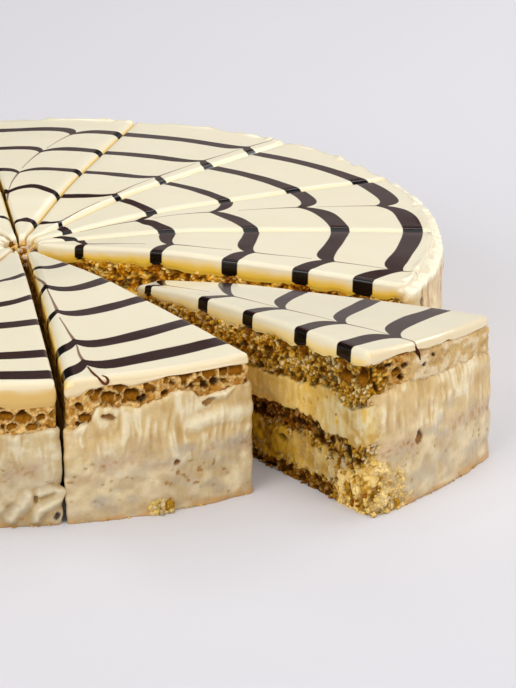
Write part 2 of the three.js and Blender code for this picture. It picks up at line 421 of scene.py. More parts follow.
def wedge_outline(wedge, near_spacing, rim_spacing, far_spacing, tip_spacing):
    """Outline anticlockwise from the tip, with its outward normals and the room behind each point."""
    near = cut_line(wedge, -1, near_spacing)
    far = cut_line(wedge, 1, far_spacing)
    corners = [
        side * (wedge.half - math.asin(gap / 2 / CAKE_RADIUS)) for side, gap in zip((-1, 1), wedge.gaps)]
    turns = [corner_rounding(wedge, side) / CAKE_RADIUS for side in (-1, 1)]
    count = int(round((corners[1] - corners[0] - sum(turns)) * CAKE_RADIUS / rim_spacing))
    rim = on_circle(np.linspace(corners[0] + turns[0], corners[1] - turns[1], count + 1))
    first_bend = bent_corner(near[-1], on_circle(corners[0]), rim[0])
    last_bend = bent_corner(rim[-1], on_circle(corners[1]), far[-1])
    tip_count = max(1, int(round(np.linalg.norm(far[0] - near[0]) / tip_spacing)))
    tip = np.linspace(far[0], near[0], tip_count + 1)[1:-1]
    points = np.concatenate([near, first_bend, rim, last_bend, far[::-1], tip])
    ramp = np.linspace(0, 1, BEND_STEPS + 2)[1:-1]
    on_rim = np.concatenate([
        np.zeros(len(near)), ramp, np.ones(len(rim)), ramp[::-1], np.zeros(len(far) + len(tip))])
    lengths = [len(near) + BEND_STEPS, len(rim), len(far) + BEND_STEPS, len(tip)]
    side = np.repeat([-1, 0, 1, TIP_SIDE], lengths)
    tangent = np.roll(points, -1, axis=0) - np.roll(points, 1, axis=0)
    tangent[0] = points[1] - points[0]
    tangent[len(points) - len(tip) - 1] = far[0] - far[1]
    tangent /= np.linalg.norm(tangent, axis=1)[:, None]
    along = path_lengths(points)
    rim_start = along[len(near) + BEND_STEPS]
    room = np.maximum(np.abs(points[:, 1]) * CUT_ROOM, on_rim * RIM_ROOM)
    return SimpleNamespace(
        x=points[:, 0], y=points[:, 1], nx=tangent[:, 1], ny=-tangent[:, 0], along=along, on_rim=on_rim,
        side=side, room=np.where(side == TIP_SIDE, TIP_ROOM, room), reach=np.hypot(*points.T),
        rim_start=rim_start, rim_end=along[len(near) + BEND_STEPS + len(rim) - 1],
        starts={"near": -np.hypot(*points[0]), "rim": rim_start - corner_rounding(wedge, -1)})


def boundary_height(flat_height, x, y, along, on_rim):
    """Height of a layer boundary, with the solids' dish, waves and rim drips."""
    if flat_height == 0:
        return np.zeros(np.shape(x))
    dish = 1 - ease(np.hypot(x, y), 0.0, DISH_RADIUS)
    sunk = flat_height * (1 - dish * DISH_DEPTH / CAKE_HEIGHT)
    wave = smooth_noise(x / LAYER_WAVE_LENGTH, y / LAYER_WAVE_LENGTH, flat_height)
    if flat_height == CAKE_HEIGHT:
        return sunk + GLAZE_WAVE * wave
    if flat_height == SPONGE_TOP_TOP:
        drip = GLAZE_DRIP * (smooth_noise(along / DRIP_LENGTH, 0, flat_height) + 1) / 2
        return sunk + LAYER_WAVE * wave - drip * on_rim
    return sunk + LAYER_WAVE * wave


GLAZE_LEVEL = LEVELS.index(SPONGE_TOP_TOP)
GLAZE_LAP = 0.6
RAGGED = {1: 0.8, 2: 0.8, 3: 0.9, 4: 0.9, GLAZE_LEVEL: 0.9}


def ragged_edge(wedge, level, along):
    """How a layer boundary strays along a cut: broad waves, crumbs and fine teeth."""
    seed = wedge.seed * 3.1 + LEVELS[level]
    broad = layered_noise(along / 11.0, 0.5, seed + 5, 2)
    crumbs = smooth_noise(along / 2.6, 0.5, seed + 6)
    teeth = smooth_noise(along / 1.1, 0.5, seed + 7)
    return RAGGED[level] * (broad + 0.45 * crumbs + 0.25 * teeth)


# Boundary heights along the drawn wedge's clockwise cut: distance from the apex and height of each bend
SHOWN_CUT = {
    4: ((60, 30.0), (88, 28.4), (110, 30.0), (120, 31.0), (126, 28.8), (133, 28.4), (140, 30.5)),
    3: ((60, 19.6), (88, 20.0), (112, 21.6), (119, 19.4), (127, 19.4), (133, 18.0), (140, 19.2)),
    2: ((60, 14.2), (94, 15.6), (101, 14.6), (111, 16.2), (118, 14.6), (125, 13.2), (132, 12.2), (140, 13.2)),
    1: ((60, 5.2), (85, 3.0), (92, 2.8), (112, 4.7), (120, 4.0), (127, 5.3), (135, 7.0), (140, 6.4)),
}
SHOWN_FROM = 45.0
SHOWN_FULLY = 75.0


def wedge_levels(wedge, line):
    """Heights of all seven boundaries above each point of an outline."""
    heights = []
    for level, flat in enumerate(LEVELS):
        height = boundary_height(flat, line.x, line.y, line.along, line.on_rim)
        if wedge.drawn and level in SHOWN_CUT:
            share = (line.side == -1) * (1 - line.on_rim) * ease(line.reach, SHOWN_FROM, SHOWN_FULLY)
            height = blend(height, at_bends(line.reach, SHOWN_CUT[level]), share)
        if level in RAGGED:
            height = height + ragged_edge(wedge, level, line.along)
        if level == GLAZE_LEVEL:
            covered = rim_glaze_edge(wedge, line.along - line.starts["rim"]) + GLAZE_LAP
            height = blend(height + wedge.glaze_lift, np.minimum(covered, RIM_SPONGE_TOP), line.on_rim)
        heights.append(height)
    return heights


# Surfaces of the sides. Each gives its relief in millimetres and its colour.

def sponge_surface(field):
    """Open nut crumb on a cut: large and small crumbs, dark gaps between them, and holes."""
    bend, lean = (0.8 * field.cloud(2.4, 2.4, number) for number in (1, 2))
    large = field.crumbs(3, 1.35, bend, lean, 1.15)
    small = field.crumbs(4, 0.8, lean, bend)
    holes = field.spots(5, 5.0, 0.45, 0.6, 1.8, bend, lean, 1.2)
    blotch = field.cloud(4.0, 3.0, 9)
    sunk = (large.height < 0.3) * ease(large.gap, 0.0, 0.4)
    crack = 1 - ease(large.gap, 0.02, 0.3)
    fine_crack = 1 - ease(small.gap, 0.0, 0.3)
    relief = 0.7 * crumb_tops(large, 0.4) + 0.35 * crumb_tops(small, 0.4) - 0.4
    relief = relief - 0.4 * crack - 0.2 * fine_crack - 0.8 * sunk - 0.8 * holes + 0.6 * blotch
    shade = 0.5 * large.tone + 0.4 * small.tone + 0.25 * blotch
    white = ease(large.tone + 0.5 * blotch, 0.62, 0.85) * ease(large.gap, 0.05, 0.35)
    # Painted shade: the gaps between crumbs, sunk crumbs and holes are darkened, and the fine gaps browned.
    deep = np.clip(0.85 * crack + 0.95 * sunk + ease(holes, 0.15, 0.8), 0, 1)
    return relief, painted(
        SPONGE_BROWN, (SPONGE_GOLD, ease(shade, 0.12, 0.4)), (SPONGE_PALE, 0.95 * ease(shade, 0.36, 0.58)),
        (NUT_PINK, 0.6 * (small.tone > 0.7) * ease(small.gap, 0.1, 0.4)), (NUT_WHITE, 0.8 * white),
        (SPONGE_BROWN, 0.4 * fine_crack), (SPONGE_SHADE, 0.94 * deep))


def cream_surface(field):
    """Cream on a cut, dragged by the knife, with yellow streaks and crumbs carried along in it."""
    drag = field.cloud(1.6, 6.0, 11, 3)
    lump = field.cloud(5.0, 3.6, 12, 3)
    pits = field.spots(13, 4.2, 0.34, 0.25, 0.9, 0.8 * lump, 0.6 * drag)
    carried = field.spots(16, 3.4, 0.3, 0.3, 0.75, 0.5 * lump)
    streak = field.cloud(1.4, 3.4, 14) + 0.5 * field.wave(8.0, 5.0, 15)
    relief = 0.28 * drag + 0.45 * lump - 0.8 * pits + 0.35 * carried
    # Painted light and shade on the relief: lighter on the raised drags and lumps, tan in the hollows and
    # dark in the pits.
    return relief, painted(
        CREAM, (CREAM_LIGHT, ease(drag + 0.5 * lump, -0.1, 0.5)),
        (CREAM_YELLOW, 0.5 * ease(streak, 0.25, 0.75)),
        (CREAM_TAN, 0.8 * ease(-lump - 0.5 * drag, 0.05, 0.6)),
        (SPONGE_BROWN, 0.8 * ease(carried, 0.1, 0.45)), (CREAM_PIT_SHADE, 0.85 * ease(pits, 0.1, 0.6)))


def crumble_surface(field):
    """Loose pale crumb and smeared cream, as where a corner has broken."""
    bend, lean = (field.cloud(2.6, 2.6, number) for number in (51, 52))
    large = field.crumbs(53, 2.1, bend, lean)
    small = field.crumbs(54, 0.95, lean, bend)
    smear = ease(field.cloud(3.4, 3.0, 56), -0.05, 0.45)
    crack = (1 - ease(large.gap, 0.0, 0.3)) * (1 - 0.8 * smear)
    relief = 0.9 * crumb_tops(large, 0.45, 0.6) + 0.4 * crumb_tops(small, 0.5)
    relief = relief * (1 - 0.6 * smear) - 0.45 * crack + 0.4 * smear
    shade = 0.5 * large.tone + 0.5 * small.tone
    # Painted shade: the gaps and the low crumbs are darkened.
    dark = 0.75 * crack + 0.75 * (large.height < 0.25) * (1 - smear) + 0.3 * (1 - ease(small.gap, 0.0, 0.25))
    return relief, painted(
        CRUMBLE_GOLD, (CRUMBLE_PALE, ease(shade, 0.25, 0.6)), (CRUMBLE_DARK, 0.8 * np.clip(dark, 0, 1)),
        (CREAM, 0.6 * smear))


CRUMB_LINE = 18.0
WET_LINE = 6.5
STROKES_FROM = 15.0
STROKES_FULLY = 24.0


def coat_surface(field):
    """The thin cream coat on the outer side: dragged above, wet and blotchy below, with flecks of crumb."""
    s, z, seed = field.s, field.z, field.seed
    sway = 1.2 * field.cloud(7.0, 9.0, 20)
    short = field.wave(2.6, 6.0, 28)
    stroke = smooth_noise((s + sway) / 1.2, z / 9.0 + 0.8 * short, seed + 21)
    fine = smooth_noise((s + sway) / 0.75, z / 4.0 + short, seed + 27)
    wave = field.cloud(7.0, 5.5, 22, 3)
    lumps = field.cloud(3.6, 2.8, 31)
    folds = smooth_noise(s / 6.0 + 0.5 * wave, z / 3.4, seed + 32)
    upper = ease(z + 3.0 * wave, STROKES_FROM, STROKES_FULLY)
    lower = 1 - upper
    stroked = upper * ease(short + 0.8 * wave, -0.5, 0.3)
    film = ease(field.cloud(4.4, 3.4, 46), -0.5, 0.6)
    thin = np.clip(hump(z, CRUMB_LINE, 3.4) + 0.8 * hump(z, WET_LINE, 4.5) + 0.1, 0, 1)
    row = hump(z, CRUMB_LINE + 2.0 * wave, 2.4) * ease(field.cloud(6.0, 6.0, 47), -0.3, 0.3)
    cells = field.crumbs(48, 1.2, 0.6 * lumps)
    carried = field.spots(23, 3.2, 0.2, 0.2, 0.7, lumps, 0.8 * wave) * (1 - 0.75 * upper)
    pits = round_spots(s + 1.2 * lumps, 1.3 * z + folds, 1.9, seed + 50, 0.4, 0.2, 0.7)
    pits = pits * lower * ease(field.cloud(5.0, 3.6, 49), -0.1, 0.4)
    crust = ease(1.6 + 2.0 * wave + 1.2 * lumps - z, -0.6, 1.0)
    relief = (0.05 + 0.2 * stroked) * stroke + 0.1 * fine + 0.45 * wave
    relief = relief + lower * (0.22 * lumps + 0.1 * folds) + 0.2 * folds * upper * (1 - stroked)
    relief = relief + 0.12 * lower * (film - 0.5) + 0.4 * carried - 0.7 * pits + 0.25 * crust * lumps
    relief = relief + row * (0.4 * crumb_tops(cells, 0.5) - 0.15 * (1 - ease(cells.gap, 0.0, 0.3)))
    # Painted light and shade on the relief: lighter on raised strokes, waves and lumps, tan in the hollows
    # and darker gold in the pits; the coat is also tanner towards the bottom.
    light = 0.5 * stroke * stroked + 0.6 * wave + 0.4 * fine * (0.2 + stroked) + 0.4 * lumps * lower
    return relief, painted(
        COAT, (COAT_LIGHT, ease(light + 0.1 * upper, 0.0, 0.6)), (COAT_TAN, 0.8 * ease(-light, 0.05, 0.7)),
        (COAT_TAN, 0.42 * (1 - ease(z, 4.0, 22.0))),
        (painted(COAT_FILM, (COAT_LIGHT, 0.8 * film)), 0.6 * lower),
        (COAT_GREY, 0.55 * thin * ease(field.cloud(4.6, 3.2, 24, 3), -0.05, 0.5)),
        (COAT_PINK, 0.4 * ease(field.cloud(4.5, 3.0, 25), 0.15, 0.65)),
        (COAT_GOLD, 0.3 * ease(field.cloud(2.2, 3.4, 30, 3), 0.3, 0.75) + 0.12 * upper),
        (painted(COAT_PINK, (FLECK, 0.7 * (cells.tone > 0.75))), 0.75 * row),
        (FLECK, 0.75 * ease(carried + 0.15 * fine, 0.1, 0.5)),
        (COAT_GOLD * 0.8, 0.8 * ease(pits, 0.05, 0.45)), (CRUST_TAN, 0.75 * crust))


def bubble_surface(field):
    """The top sponge where it is bare under the glaze on the outer side: crumb, pores and small bubbles."""
    bend = 0.7 * field.cloud(2.2, 2.2, 34)
    cells = field.crumbs(35, 1.5, bend, -bend)
    bubbles = field.spots(36, 3.6, 0.55, 0.5, 1.5, bend, -0.6 * bend, 1.15)
    pores = field.spots(32, 1.4, 0.65, 0.2, 0.6, -bend, bend)
    rough = field.cloud(1.6, 1.6, 33, 3)
    crack = 1 - ease(cells.gap, 0.0, 0.25)
    depth = 0.75 * bubbles + 0.8 * pores
    relief = 0.1 + 0.35 * rough + 0.4 * (cells.height - 0.5) - 0.25 * crack - depth
    gold = ease(0.7 * cells.tone - 0.6 * rough, 0.1, 0.6)
    # Painted shade: the cracks are browned, and the pores and bubbles darkened by their depth.
    return relief, painted(
        BUBBLE_WALL, (BUBBLE_GOLD, 0.9 * gold), (SPONGE_BROWN, 0.45 * crack),
        (AMBER, 0.95 * ease(bubbles, 0.1, 0.5)), (SPONGE_SHADE, 0.85 * ease(depth, 0.3, 0.9)))


# Single features of the sides: wedge, face and kind, then place, height, half width and half height of each.
# Places on a cut are counted from the middle of the cake, and on the rim from its clockwise corner.
MARKS = (
    ("drawn", "near", "crater", ((128.8, 36.0, 2.3, 3.0), (136.0, 37.0, 2.2, 3.0))),
    ("drawn", "near", "hole", (
        (130.3, 16.0, 1.8, 2.0), (107.3, 18.0, 2.0, 1.2), (113.7, 19.0, 2.2, 1.1), (117.0, 16.6, 1.6, 1.2),
        (88.4, 17.8, 2.4, 1.5), (102.3, 3.2, 1.5, 1.2), (108.3, 1.8, 1.4, 0.9), (126.7, 4.2, 1.3, 1.0))),
    ("drawn", "near", "drop", (
        (107.3, 27.3, 0.8, 2.2), (110.7, 29.5, 1.0, 2.6), (125.2, 23.0, 0.9, 1.6), (138.0, 27.8, 0.9, 2.0))),
    ("drawn", "rim", "fleck", ((15.5, 17.8, 0.8, 0.9),)),
    ("drawn", "rim", "grey", (
        (29.4, 21.4, 3.4, 2.2), (34.4, 24.8, 3.2, 2.0), (31.3, 10.0, 3.8, 3.0), (47.3, 5.6, 4.0, 2.6))),
    ("drawn", "rim", "crater", (
        (20.0, 18.3, 1.7, 1.7), (5.5, 39.4, 1.6, 1.0), (10.6, 38.2, 2.0, 1.2), (6.6, 36.8, 1.3, 1.0))),
    ("drawn", "rim", "hole", (
        (3.6, 35.4, 1.2, 1.8), (14.2, 39.6, 1.4, 0.9), (8.0, 40.8, 1.3, 0.8), (1.2, 38.6, 1.2, 1.5),
        (12.4, 37.0, 1.0, 0.8), (22.4, 38.6, 1.2, 0.8), (27.0, 40.2, 1.0, 0.6))),
    ("slice_13", "rim", "grey", (
        (8.3, 6.2, 2.4, 2.8), (12.2, 7.1, 2.6, 2.2), (34.2, 19.9, 5.0, 1.4), (53.0, 19.0, 6.0, 2.0))),
    ("slice_13", "rim", "crater", ((32.5, 15.7, 1.0, 1.0), (44.0, 33.4, 2.6, 1.1))),
    ("slice_13", "rim", "fleck", (
        (36.5, 9.0, 0.6, 0.8), (39.1, 8.2, 0.9, 0.5), (33.0, 12.5, 0.7, 1.0), (40.6, 11.4, 0.9, 0.5),
        (45.2, 13.0, 0.6, 0.7), (29.6, 9.4, 0.5, 0.8), (35.4, 11.0, 0.6, 0.4), (48.6, 10.2, 0.7, 0.5))),
    ("slice_13", "rim", "bubble", (
        (12.7, 33.7, 2.4, 1.1), (17.3, 41.2, 2.3, 1.9), (25.4, 40.8, 2.0, 1.9), (30.5, 42.0, 1.3, 1.1),
        (9.3, 39.8, 2.9, 2.2), (6.8, 41.0, 1.3, 1.1), (13.0, 39.0, 2.2, 2.0), (15.8, 38.6, 1.3, 1.3),
        (19.5, 38.6, 2.6, 2.4))),
    ("slice_13", "rim", "hole", ((23.5, 37.7, 2.0, 1.8),)),
    ("slice_13", "rim", "bubble", (
        (3.9, 36.6, 1.5, 1.6), (53.5, 41.2, 3.4, 2.2), (45.0, 41.8, 2.4, 1.8), (36.2, 41.6, 2.5, 2.0),
        (40.5, 40.4, 1.6, 1.4), (49.0, 41.0, 2.0, 1.4))),
    ("slice_13", "rim", "hole", ((46.4, 38.8, 1.8, 1.3), (42.6, 38.6, 1.5, 1.2))),
    ("slice_13", "rim", "bubble", ((49.6, 38.2, 1.6, 1.1), (5.6, 33.4, 1.6, 1.2))),
    ("slice_01", "rim", "hole", ((7.0, 37.6, 1.3, 4.0),)),
    ("slice_12", "rim", "bubble", (
        (50.2, 34.6, 3.0, 2.0), (45.0, 35.2, 2.6, 1.8), (55.5, 34.4, 1.8, 1.6), (53.0, 31.8, 1.6, 1.2),
        (47.6, 32.2, 1.8, 1.3), (59.4, 35.4, 1.4, 1.8))),
    ("slice_12", "rim", "hole", ((59.2, 3.4, 0.8, 1.5),)),
    ("slice_12", "rim", "crater", ((53.4, 8.4, 0.8, 1.7),)),
)

# Marks of one colour: rise for its size, colour, where the colour starts and is full, and its share
PLAIN_MARKS = {
    # A hole is painted dark as shade.
    "hole": (-1.0, SPONGE_SHADE * 0.6, 0.15, 0.7, 0.95),
    "drop": (0.2, CREAM_YELLOW, 0.1, 0.6, 0.7),
    "fleck": (-0.5, FLECK, 0.1, 0.6, 0.9),
}
MARK_CROOKED = 0.5
MARK_UNEVEN = 0.35
OUTSIDE = -9.0


def mark_shape(field, start, place, height, half_width, half_height):
    """How far inside an uneven oval each point lies: 1 in its middle and 0 on its edge."""
    s, z = field.s, field.z
    uneven = MARK_UNEVEN * layered_noise(s / 1.8, z / 1.8, place, 2)
    bent_s = s - start + MARK_CROOKED * half_width * smooth_noise(s / 2.6, z / 2.6, place + 1)
    bent_z = z - height + MARK_CROOKED * half_height * smooth_noise(s / 2.6, z / 2.6, place + 2)
    inside = 1 - (bent_s / half_width) ** 2 - (bent_z / half_height) ** 2 + uneven
    return np.where(np.abs(s - start) < 2 * half_width, inside, OUTSIDE)


def bubble_mark(inside, dome, size, roof, walled, relief, colour):
    """A hollow with amber sides, with painted shade under its roof and painted light on its lower part. A
    bubble has a pale wall round it.
    """
    wall = hump(inside, -0.3, 0.25) * walled
    relief = relief * (1 - 0.8 * ease(dome, 0.0, 0.4)) - 0.7 * size * dome + 0.3 * wall
    return relief, painted(
        colour, (BUBBLE_WALL, 0.8 * wall), (AMBER, ease(dome, 0.1, 0.35)),
        (AMBER_PAINTED_LIGHT, 0.6 * ease(dome, 0.35, 0.8) * (1 - roof)),
        (SPONGE_SHADE, 0.9 * ease(dome, 0.15, 0.6) * roof))


def apply_marks(wedge, line, field, relief, colour, kinds):
    for name, face, kind, marks in MARKS:
        if name != wedge.name or kind not in kinds:
            continue
        for place, height, half_width, half_height in marks:
            inside = mark_shape(field, line.starts[face] + place, place, height, half_width, half_height)
            dome = np.sqrt(np.clip(inside, 0, 1))
            size = min(half_width, half_height)
            if kind in PLAIN_MARKS:
                rise, paint, low, high, share = PLAIN_MARKS[kind]
                relief = relief + rise * size * dome
                colour = painted(colour, (paint, share * ease(dome, low, high)))
            elif kind == "grey":
                colour = painted(colour, (COAT_GREY, 0.45 * ease(inside, -0.5, 1.2)))
            else:
                roof = ease(field.z, height - 0.2 * half_height, height + 0.7 * half_height)
                relief, colour = bubble_mark(inside, dome, size, roof, kind == "bubble", relief, colour)
    return relief, colour


# Soft folds of the coat on the rims: wedge, half width and rise, then place and height of each bend
FOLDS = (
    ("slice_13", 1.3, 1.0, ((42.5, 36.2), (46, 35.0), (48.5, 35.0), (51, 37.4), (54, 38.6), (57.5, 37.6))),
    ("slice_13", 1.8, 0.45, ((38, 26.5), (46, 28.6), (57, 27.4))),
    ("slice_12", 1.4, 0.9, ((46, 3.0), (49, 6.4), (51, 10.0))),
    ("slice_12", 1.2, 1.1, ((53, 2.4), (55, 5.4), (58.5, 7.6), (61, 10.2))),
    ("slice_12", 1.0, 1.0, ((55, 10.6), (58, 11.6), (61, 10.6))),
)
FOLD_SEED = 63


def apply_folds(wedge, line, field, relief, colour):
    s, z = field.s, field.z
    place = s - line.starts["rim"] + 1.1 * layered_noise(s / 2.6, z / 2.6, FOLD_SEED, 2)
    for name, half_width, rise, bends in FOLDS:
        if name != wedge.name:
            continue
        nearest = np.full(s.shape, np.inf)
        for (x0, z0), (x1, z1) in zip(bends, bends[1:]):
            run, climb = x1 - x0, z1 - z0
            share = np.clip(((place - x0) * run + (z - z0) * climb) / (run ** 2 + climb ** 2), 0, 1)
            nearest = np.minimum(nearest, np.hypot(place - x0 - share * run, z - z0 - share * climb))
        crest = hump(nearest, 0.0, half_width)
        trough = hump(nearest, 1.9 * half_width, 0.6 * half_width)
        relief = relief + rise * crest - 0.3 * rise * trough
        # Painted light on the crests of the folds and painted shade in the troughs beside them.
        colour = painted(colour, (COAT_LIGHT, 0.75 * crest), (COAT_GOLD, 0.3 * trough))
    return relief, colour


# The drawn wedge's crumbled corner: how far its middle lies past the start of the rim, half length and height
CRUMBLED_MIDDLE = -2.5
CRUMBLED_HALF_LENGTH = 16.5
CRUMBLED_HEIGHT = 16.0


def crumbled_share(wedge, line, field):
    if not wedge.drawn:
        return np.zeros(field.z.shape)
    past = field.s - line.rim_start - CRUMBLED_MIDDLE
    inside = 1 - (past / CRUMBLED_HALF_LENGTH) ** 2 - (field.z / CRUMBLED_HEIGHT) ** 2
    return ease(inside + 0.5 * field.cloud(3.0, 3.0, 55, 3), 0.0, 0.25)


def coat_edge(wedge, line):
    """Upper edge of the coat on the outer side."""
    seed = wedge.seed * 1.7
    edge = at_bends(line.along - line.starts["rim"], wedge.coat_edge)
    broad = layered_noise(line.along / 7.0, 0.5, seed + 41, 2)
    crumbs = smooth_noise(line.along / 1.9, 0.5, seed + 42)
    teeth = smooth_noise(line.along / 0.8, 0.5, seed + 43)
    return edge + broad + 0.7 * (crumbs + 0.6 * teeth)


# Tones of the base and of the middle sponge at the corner, and painted shade that darkens the middle sponge
# deep inside the slot
BASE_TONE = np.array([0.42, 0.3, 0.15])
MIDDLE_SLOT_SHADE = np.array([0.44, 0.3, 0.18])
MIDDLE_CORNER_TONE = np.array([0.85, 0.85, 0.9])
# Crumbs dragged over the lower cream, from above and from below
DRAG_DOWN = 5.5
DRAG_UP = 2.5
# Distances from the middle of the cake where the lower cream stops being pale and the creams get deep: the
# lower cream darkens inwards as painted shade, and the creams take painted golden bounce light deep in the
# slot
PALE_START = 128.0
PALE_END = 92.0
DEEP_START = 134.0
DEEP_END = 104.0
STAIN_REACH = 3.4
STAIN_DEPTH = 7.0
UNDER_ALL = -5.0
OVER_ALL = 60.0
PROUD_HEIGHT = 9.0


def band(z, low, high, soft=0.25):
    return ease(z, low - soft, low + soft) * ease(-z, -high - soft, -high + soft)


def block_stain(wedge, line, z, top):
    """Share of brown that has soaked into the top sponge under the chocolate rings."""
    angle = np.degrees(np.arctan2(line.y, line.x) + wedge.direction)
    nearest = np.min([np.abs(line.reach - ring_radius(ring, angle)) for ring in RINGS], axis=0)[:, None]
    return (1 - ease(nearest, 1.0, STAIN_REACH)) * ease(z, top - STAIN_DEPTH, top)


def cut_surface(wedge, line, heights, field):
    """Relief, colour and share of crumb where all layers show."""
    z = field.z
    base, lower, middle, upper, top = (height[:, None] for height in heights[1:-1])
    reach = line.reach[:, None]
    stray = z + field.cloud(2.2, 2.2, 8)
    in_base = band(stray, UNDER_ALL, base)
    in_lower = band(stray, base, lower)
    in_middle = band(stray, lower, middle)
    wet = np.clip(in_middle + in_base, 0, 1)
    deep = ease(-reach, -DEEP_START, -DEEP_END)
    pale = 0.65 * (1 - ease(-reach, -PALE_START, -PALE_END))
    crumb_relief, crumb_colour = sponge_surface(field)
    cream_relief, cream_colour = cream_surface(field)

    lumpy = ease(field.cloud(2.6, 2.2, 18, 3), -0.25, 0.4)
    cream_relief = cream_relief + 0.6 * in_lower * (lumpy - 0.5)
    # Painted light and shade: deep in the slot the cream is tinted golden as bounce light, near the corner it
    # is dimmed, and the lower cream darkens from the pale corner inwards.
    cream_colour = painted(cream_colour, (CREAM_PAINTED_BOUNCE, 0.7 * deep * (1 - in_lower)))
    cream_colour = cream_colour * (0.8 + 0.2 * deep)[..., None]
    low_colour = painted(
        CREAM_LOW_SHADED, (CREAM_LOW, lumpy), (crumb_colour, 0.06 + 0.3 * ease(-lumpy, -0.5, -0.1)),
        (cream_colour, pale))
    cream_colour = painted(cream_colour, (low_colour, in_lower))

    dragged = np.maximum(1 - (lower - z) / DRAG_DOWN, 1 - (z - base) / DRAG_UP)
    dragged = ease(0.9 * dragged + 0.8 * field.cloud(1.9, 1.9, 62, 3), 0.5, 0.8) * in_lower
    crumb = np.clip(wet + band(stray, upper, OVER_ALL) + dragged, 0, 1)
    # Painted shade: the middle sponge darkens deep in the slot.
    middle_tone = painted(MIDDLE_CORNER_TONE, (MIDDLE_SLOT_SHADE, deep))
    for share, tone in ((in_base, BASE_TONE), (in_middle, middle_tone)):
        crumb_colour = crumb_colour * (1 - share[..., None] * (1 - tone))
    crumb_colour = painted(crumb_colour, (BLOCK_STAIN, 0.75 * block_stain(wedge, line, z, top)))
    # Painted light: the cut is brightened where it lies in shade in the slot, and dimmed where it is well
    # lit.
    reaches, *shares = zip(*wedge.cut_tone)
    cut_tone = np.stack([np.interp(reach, reaches, share) for share in shares], axis=-1)
    relief = blend(cream_relief, crumb_relief * (1 - 0.3 * wet), crumb)
    return relief, painted(cream_colour, (crumb_colour, crumb)) * cut_tone, crumb


def bare_surface(wedge, line, field, broken_relief, broken_colour):
    """The bare strip under the glaze on the outer side, and how far it is smeared with cream."""
    relief, colour = bubble_surface(field)
    smeared = np.zeros(field.z.shape)
    if wedge.drawn:
        smeared = ease(field.s - line.rim_start + 3.0 * field.cloud(5.0, 3.0, 60), 9.0, 17.0)
        smears = ease(field.cloud(3.4, 2.0, 57, 3), -0.25, 0.45)
        specks = field.spots(61, 3.4, 0.3, 0.2, 0.6, field.cloud(2.2, 2.2, 8))
        film = painted(
            BARE_GOLD, (broken_colour, 0.3), (BARE_CRUMB, 0.15 + 0.85 * smears),
            (SPONGE_BROWN, 0.8 * ease(specks, 0.1, 0.4)))
        relief = blend(relief, 0.2 * broken_relief * (1 - smears) + 0.5 * smears - 0.5 * specks, smeared)
        colour = painted(colour, (film, smeared))
    relief, colour = apply_marks(wedge, line, field, relief, colour, ("bubble", "hole", "crater"))
    return relief, colour, smeared


def side_surface(wedge, line, heights, field):
    """Relief, colour and share of crumb of the whole side of a wedge."""
    z = field.z
    relief, colour, crumb = cut_surface(wedge, line, heights, field)
    relief, colour = apply_marks(wedge, line, field, relief, colour, ("hole", "drop", "crater"))
    crumbled = crumbled_share(wedge, line, field)
    broken_relief, broken_colour = crumble_surface(field)
    relief = blend(relief, broken_relief, crumbled)
    colour = painted(colour, (broken_colour, crumbled))

    bare_relief, bare_colour, smeared = bare_surface(wedge, line, field, broken_relief, broken_colour)
    top = heights[GLAZE_LEVEL][:, None]
    proud = wedge.proud * ease(z, 0.0, PROUD_HEIGHT)
    tucked = 0.9 * ease(z, top - GLAZE_LAP - 0.5, top)
    coated = ease(coat_edge(wedge, line)[:, None] - z, 0.0, 1.2)
    rim_relief = blend(bare_relief + proud - tucked, -0.8, coated)
    rim = line.on_rim[:, None]
    if wedge.drawn:
        rim = rim * ease(field.s - line.rim_start + 4.0 * field.cloud(6.0, 4.0, 58), 2.0, 10.0)
    crumb = blend(crumb, 0.7 - 0.45 * smeared, rim)
    return blend(relief, rim_relief, rim), painted(colour, (bare_colour, rim)), crumb


# Meshes

def mesh_object(name, points, quads, triangles, layers, material):
    """A mesh object from arrays. All its faces are shaded smooth."""
    mesh = bpy.data.meshes.new(name)
    mesh.vertices.add(len(points))
    mesh.vertices.foreach_set("co", np.ascontiguousarray(points, dtype=np.float32).ravel())
    corners = np.concatenate([quads.ravel(), triangles.ravel()]).astype(np.int32)
    mesh.loops.add(len(corners))
    mesh.loops.foreach_set("vertex_index", corners)
    starts = np.concatenate([np.arange(len(quads)) * 4, len(quads) * 4 + np.arange(len(triangles)) * 3])
    mesh.polygons.add(len(starts))
    mesh.polygons.foreach_set("loop_start", starts.astype(np.int32))
    mesh.polygons.foreach_set("use_smooth", np.ones(len(starts), dtype=bool))
    for key, values in layers.items():
        if values.ndim == 2:
            attribute = mesh.attributes.new(key, "FLOAT_COLOR", "POINT")
            rgba = np.ones((len(points), 4), dtype=np.float32)
            rgba[:, :3] = values
            attribute.data.foreach_set("color", rgba.ravel())
        else:
            attribute = mesh.attributes.new(key, "FLOAT", "POINT")
            attribute.data.foreach_set("value", values.astype(np.float32))
    mesh.update(calc_edges=True)
    mesh.materials.append(material)
    obj = bpy.data.objects.new(name, mesh)
    bpy.context.scene.collection.objects.link(obj)
    return obj


def make_piece(wedge, piece, points, quads, triangles, layers, material, is_node):
    """One piece of a wedge, from points in its own frame. Where it is a node, it replaces that node."""
    name = f"{wedge.name}_{piece}"
    obj = mesh_object(f"look_{name}", placed(wedge, *points), quads, triangles, layers, material)
    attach(obj, "root")
    if is_node:
        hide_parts(name)


